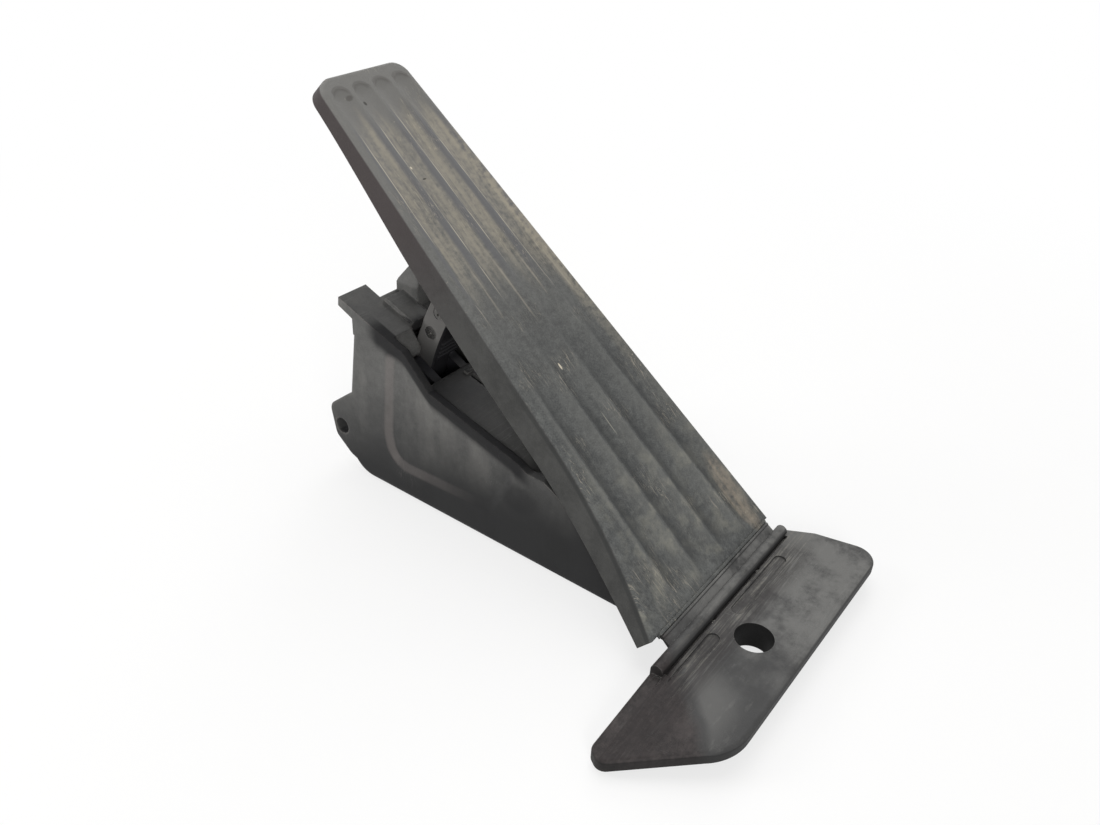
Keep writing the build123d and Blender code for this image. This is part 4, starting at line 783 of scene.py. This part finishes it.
# camera where the photograph was taken, looking down on the left side
shot = dict(
    place=(-0.2342, -0.07854, 0.24865), aim=(0.00559, 0.08966, 0.05705), roll=3.0,
    lens=33.05, sensor=36.0, clip=(0.01, 50.0),
)


# the turn that points -Z from place to aim with Y up, then rolls about that line
def aimed(look):
    ahead = Vector(look["aim"]) - Vector(look["place"])
    roll = Quaternion((0.0, 0.0, 1.0), radians(look.get("roll", 0.0)))
    return ahead.to_track_quat("-Z", "Y") @ roll


def setCamera(look):
    data = bpy.data.cameras.new("shotCamera")
    data.sensor_width = look["sensor"]
    data.lens = look["lens"]
    data.clip_start, data.clip_end = look["clip"]
    camera = bpy.data.objects.new("shotCamera", data)
    camera.matrix_world = Matrix.LocRotScale(Vector(look["place"]), aimed(look), None)
    bpy.context.scene.collection.objects.link(camera)
    bpy.context.scene.camera = camera


setCamera(shot)

# pale floor and studio light; rays that look see plain white, and the floor keeps the shadow near the object
studio = dict(
    floorSize=6.0, floorDrop=0.0003, floorTone=(0.66, 0.66, 0.655), floorPale=(0.92, 0.91, 0.90),
    dapple=(30.0, 3.0), dappleStrength=0.06, floorRough=0.6,
    middle=(0.0, 0.09), nearReach=0.16, farReach=0.55, nearWhite=0.72,
    white=(1.0, 1.0, 1.0), worldTone=(1.0, 0.99, 0.97), worldLight=0.50,
)
lamps = {
    "ceilingLamp": dict(place=(0.25, 0.35, 1.25), aim=(0.0, 0.09, 0.05), size=(1.0, 1.0), power=9.0),
    "sideLamp": dict(place=(0.95, 0.45, 0.75), aim=(0.0, 0.09, 0.06), size=(0.5, 0.5), power=3.0),
    "rearLamp": dict(place=(-0.60, 0.95, 0.60), aim=(0.0, 0.15, 0.06), size=(0.4, 0.4), power=6.0),
    "leftLamp": dict(place=(-0.74, -0.70, 0.50), aim=(0.0, 0.12, 0.05), size=(0.35, 0.35), power=7.0),
}


# white grows from nearWhite beside the object to plain white at farReach
def floorPaper(look):
    board = Board("floorPaper")
    place = board.place()
    x, y = board.axes(place, "XY")
    dapple = board.noise(place, *look["dapple"])
    colour = board.mix(dapple * look["dappleStrength"], look["floorTone"], look["floorPale"])
    paper = board.surface(colour=colour, rough=look["floorRough"])
    glow = board.node("Emission", {}, {"Color": (*look["white"], 1.0), "Strength": 1.0})
    side = x - look["middle"][0]
    ahead = y - look["middle"][1]
    reach = (side * side + ahead * ahead) ** 0.5
    factor = board.seen() * board.ramp(reach, look["nearReach"], look["farReach"], look["nearWhite"], 1.0)
    return board.show(board.node("MixShader", {}, {0: factor, 1: paper, 2: glow}))


def setFloor(look):
    half = look["floorSize"] / 2
    level = cadBox[0][2] - look["floorDrop"]
    corners = [(-half, -half, level), (half, -half, level), (half, half, level), (-half, half, level)]
    mesh = bpy.data.meshes.new("floor")
    mesh.from_pydata(corners, [], [(0, 1, 2, 3)])
    mesh.materials.append(floorPaper(look))
    floor = bpy.data.objects.new("floor", mesh)
    bpy.context.scene.collection.objects.link(floor)


def setWorld(look):
    world = bpy.data.worlds.new("studioWorld")
    bpy.context.scene.world = world
    board = Board("studioWorld", world)
    lit = board.node("Background", {}, {"Color": (*look["worldTone"], 1.0), "Strength": look["worldLight"]})
    white = board.node("Background", {}, {"Color": (*look["white"], 1.0), "Strength": 1.0})
    mixed = board.node("MixShader", {}, {0: board.seen(), 1: lit, 2: white})
    board.node("OutputWorld", {}, {"Surface": mixed}, None)


def setLamp(name, look):
    data = bpy.data.lights.new(name, "AREA")
    data.shape = "RECTANGLE"
    data.size, data.size_y = look["size"]
    data.energy = look["power"]
    lamp = bpy.data.objects.new(name, data)
    lamp.location = look["place"]
    lamp.rotation_euler = aimed(look).to_euler()
    bpy.context.scene.collection.objects.link(lamp)


setFloor(studio)
setWorld(studio)
for name, look in lamps.items():
    setLamp(name, look)
bpy.context.scene.view_settings.view_transform = "Standard"
print("studio set:", len(lamps), "lamps")
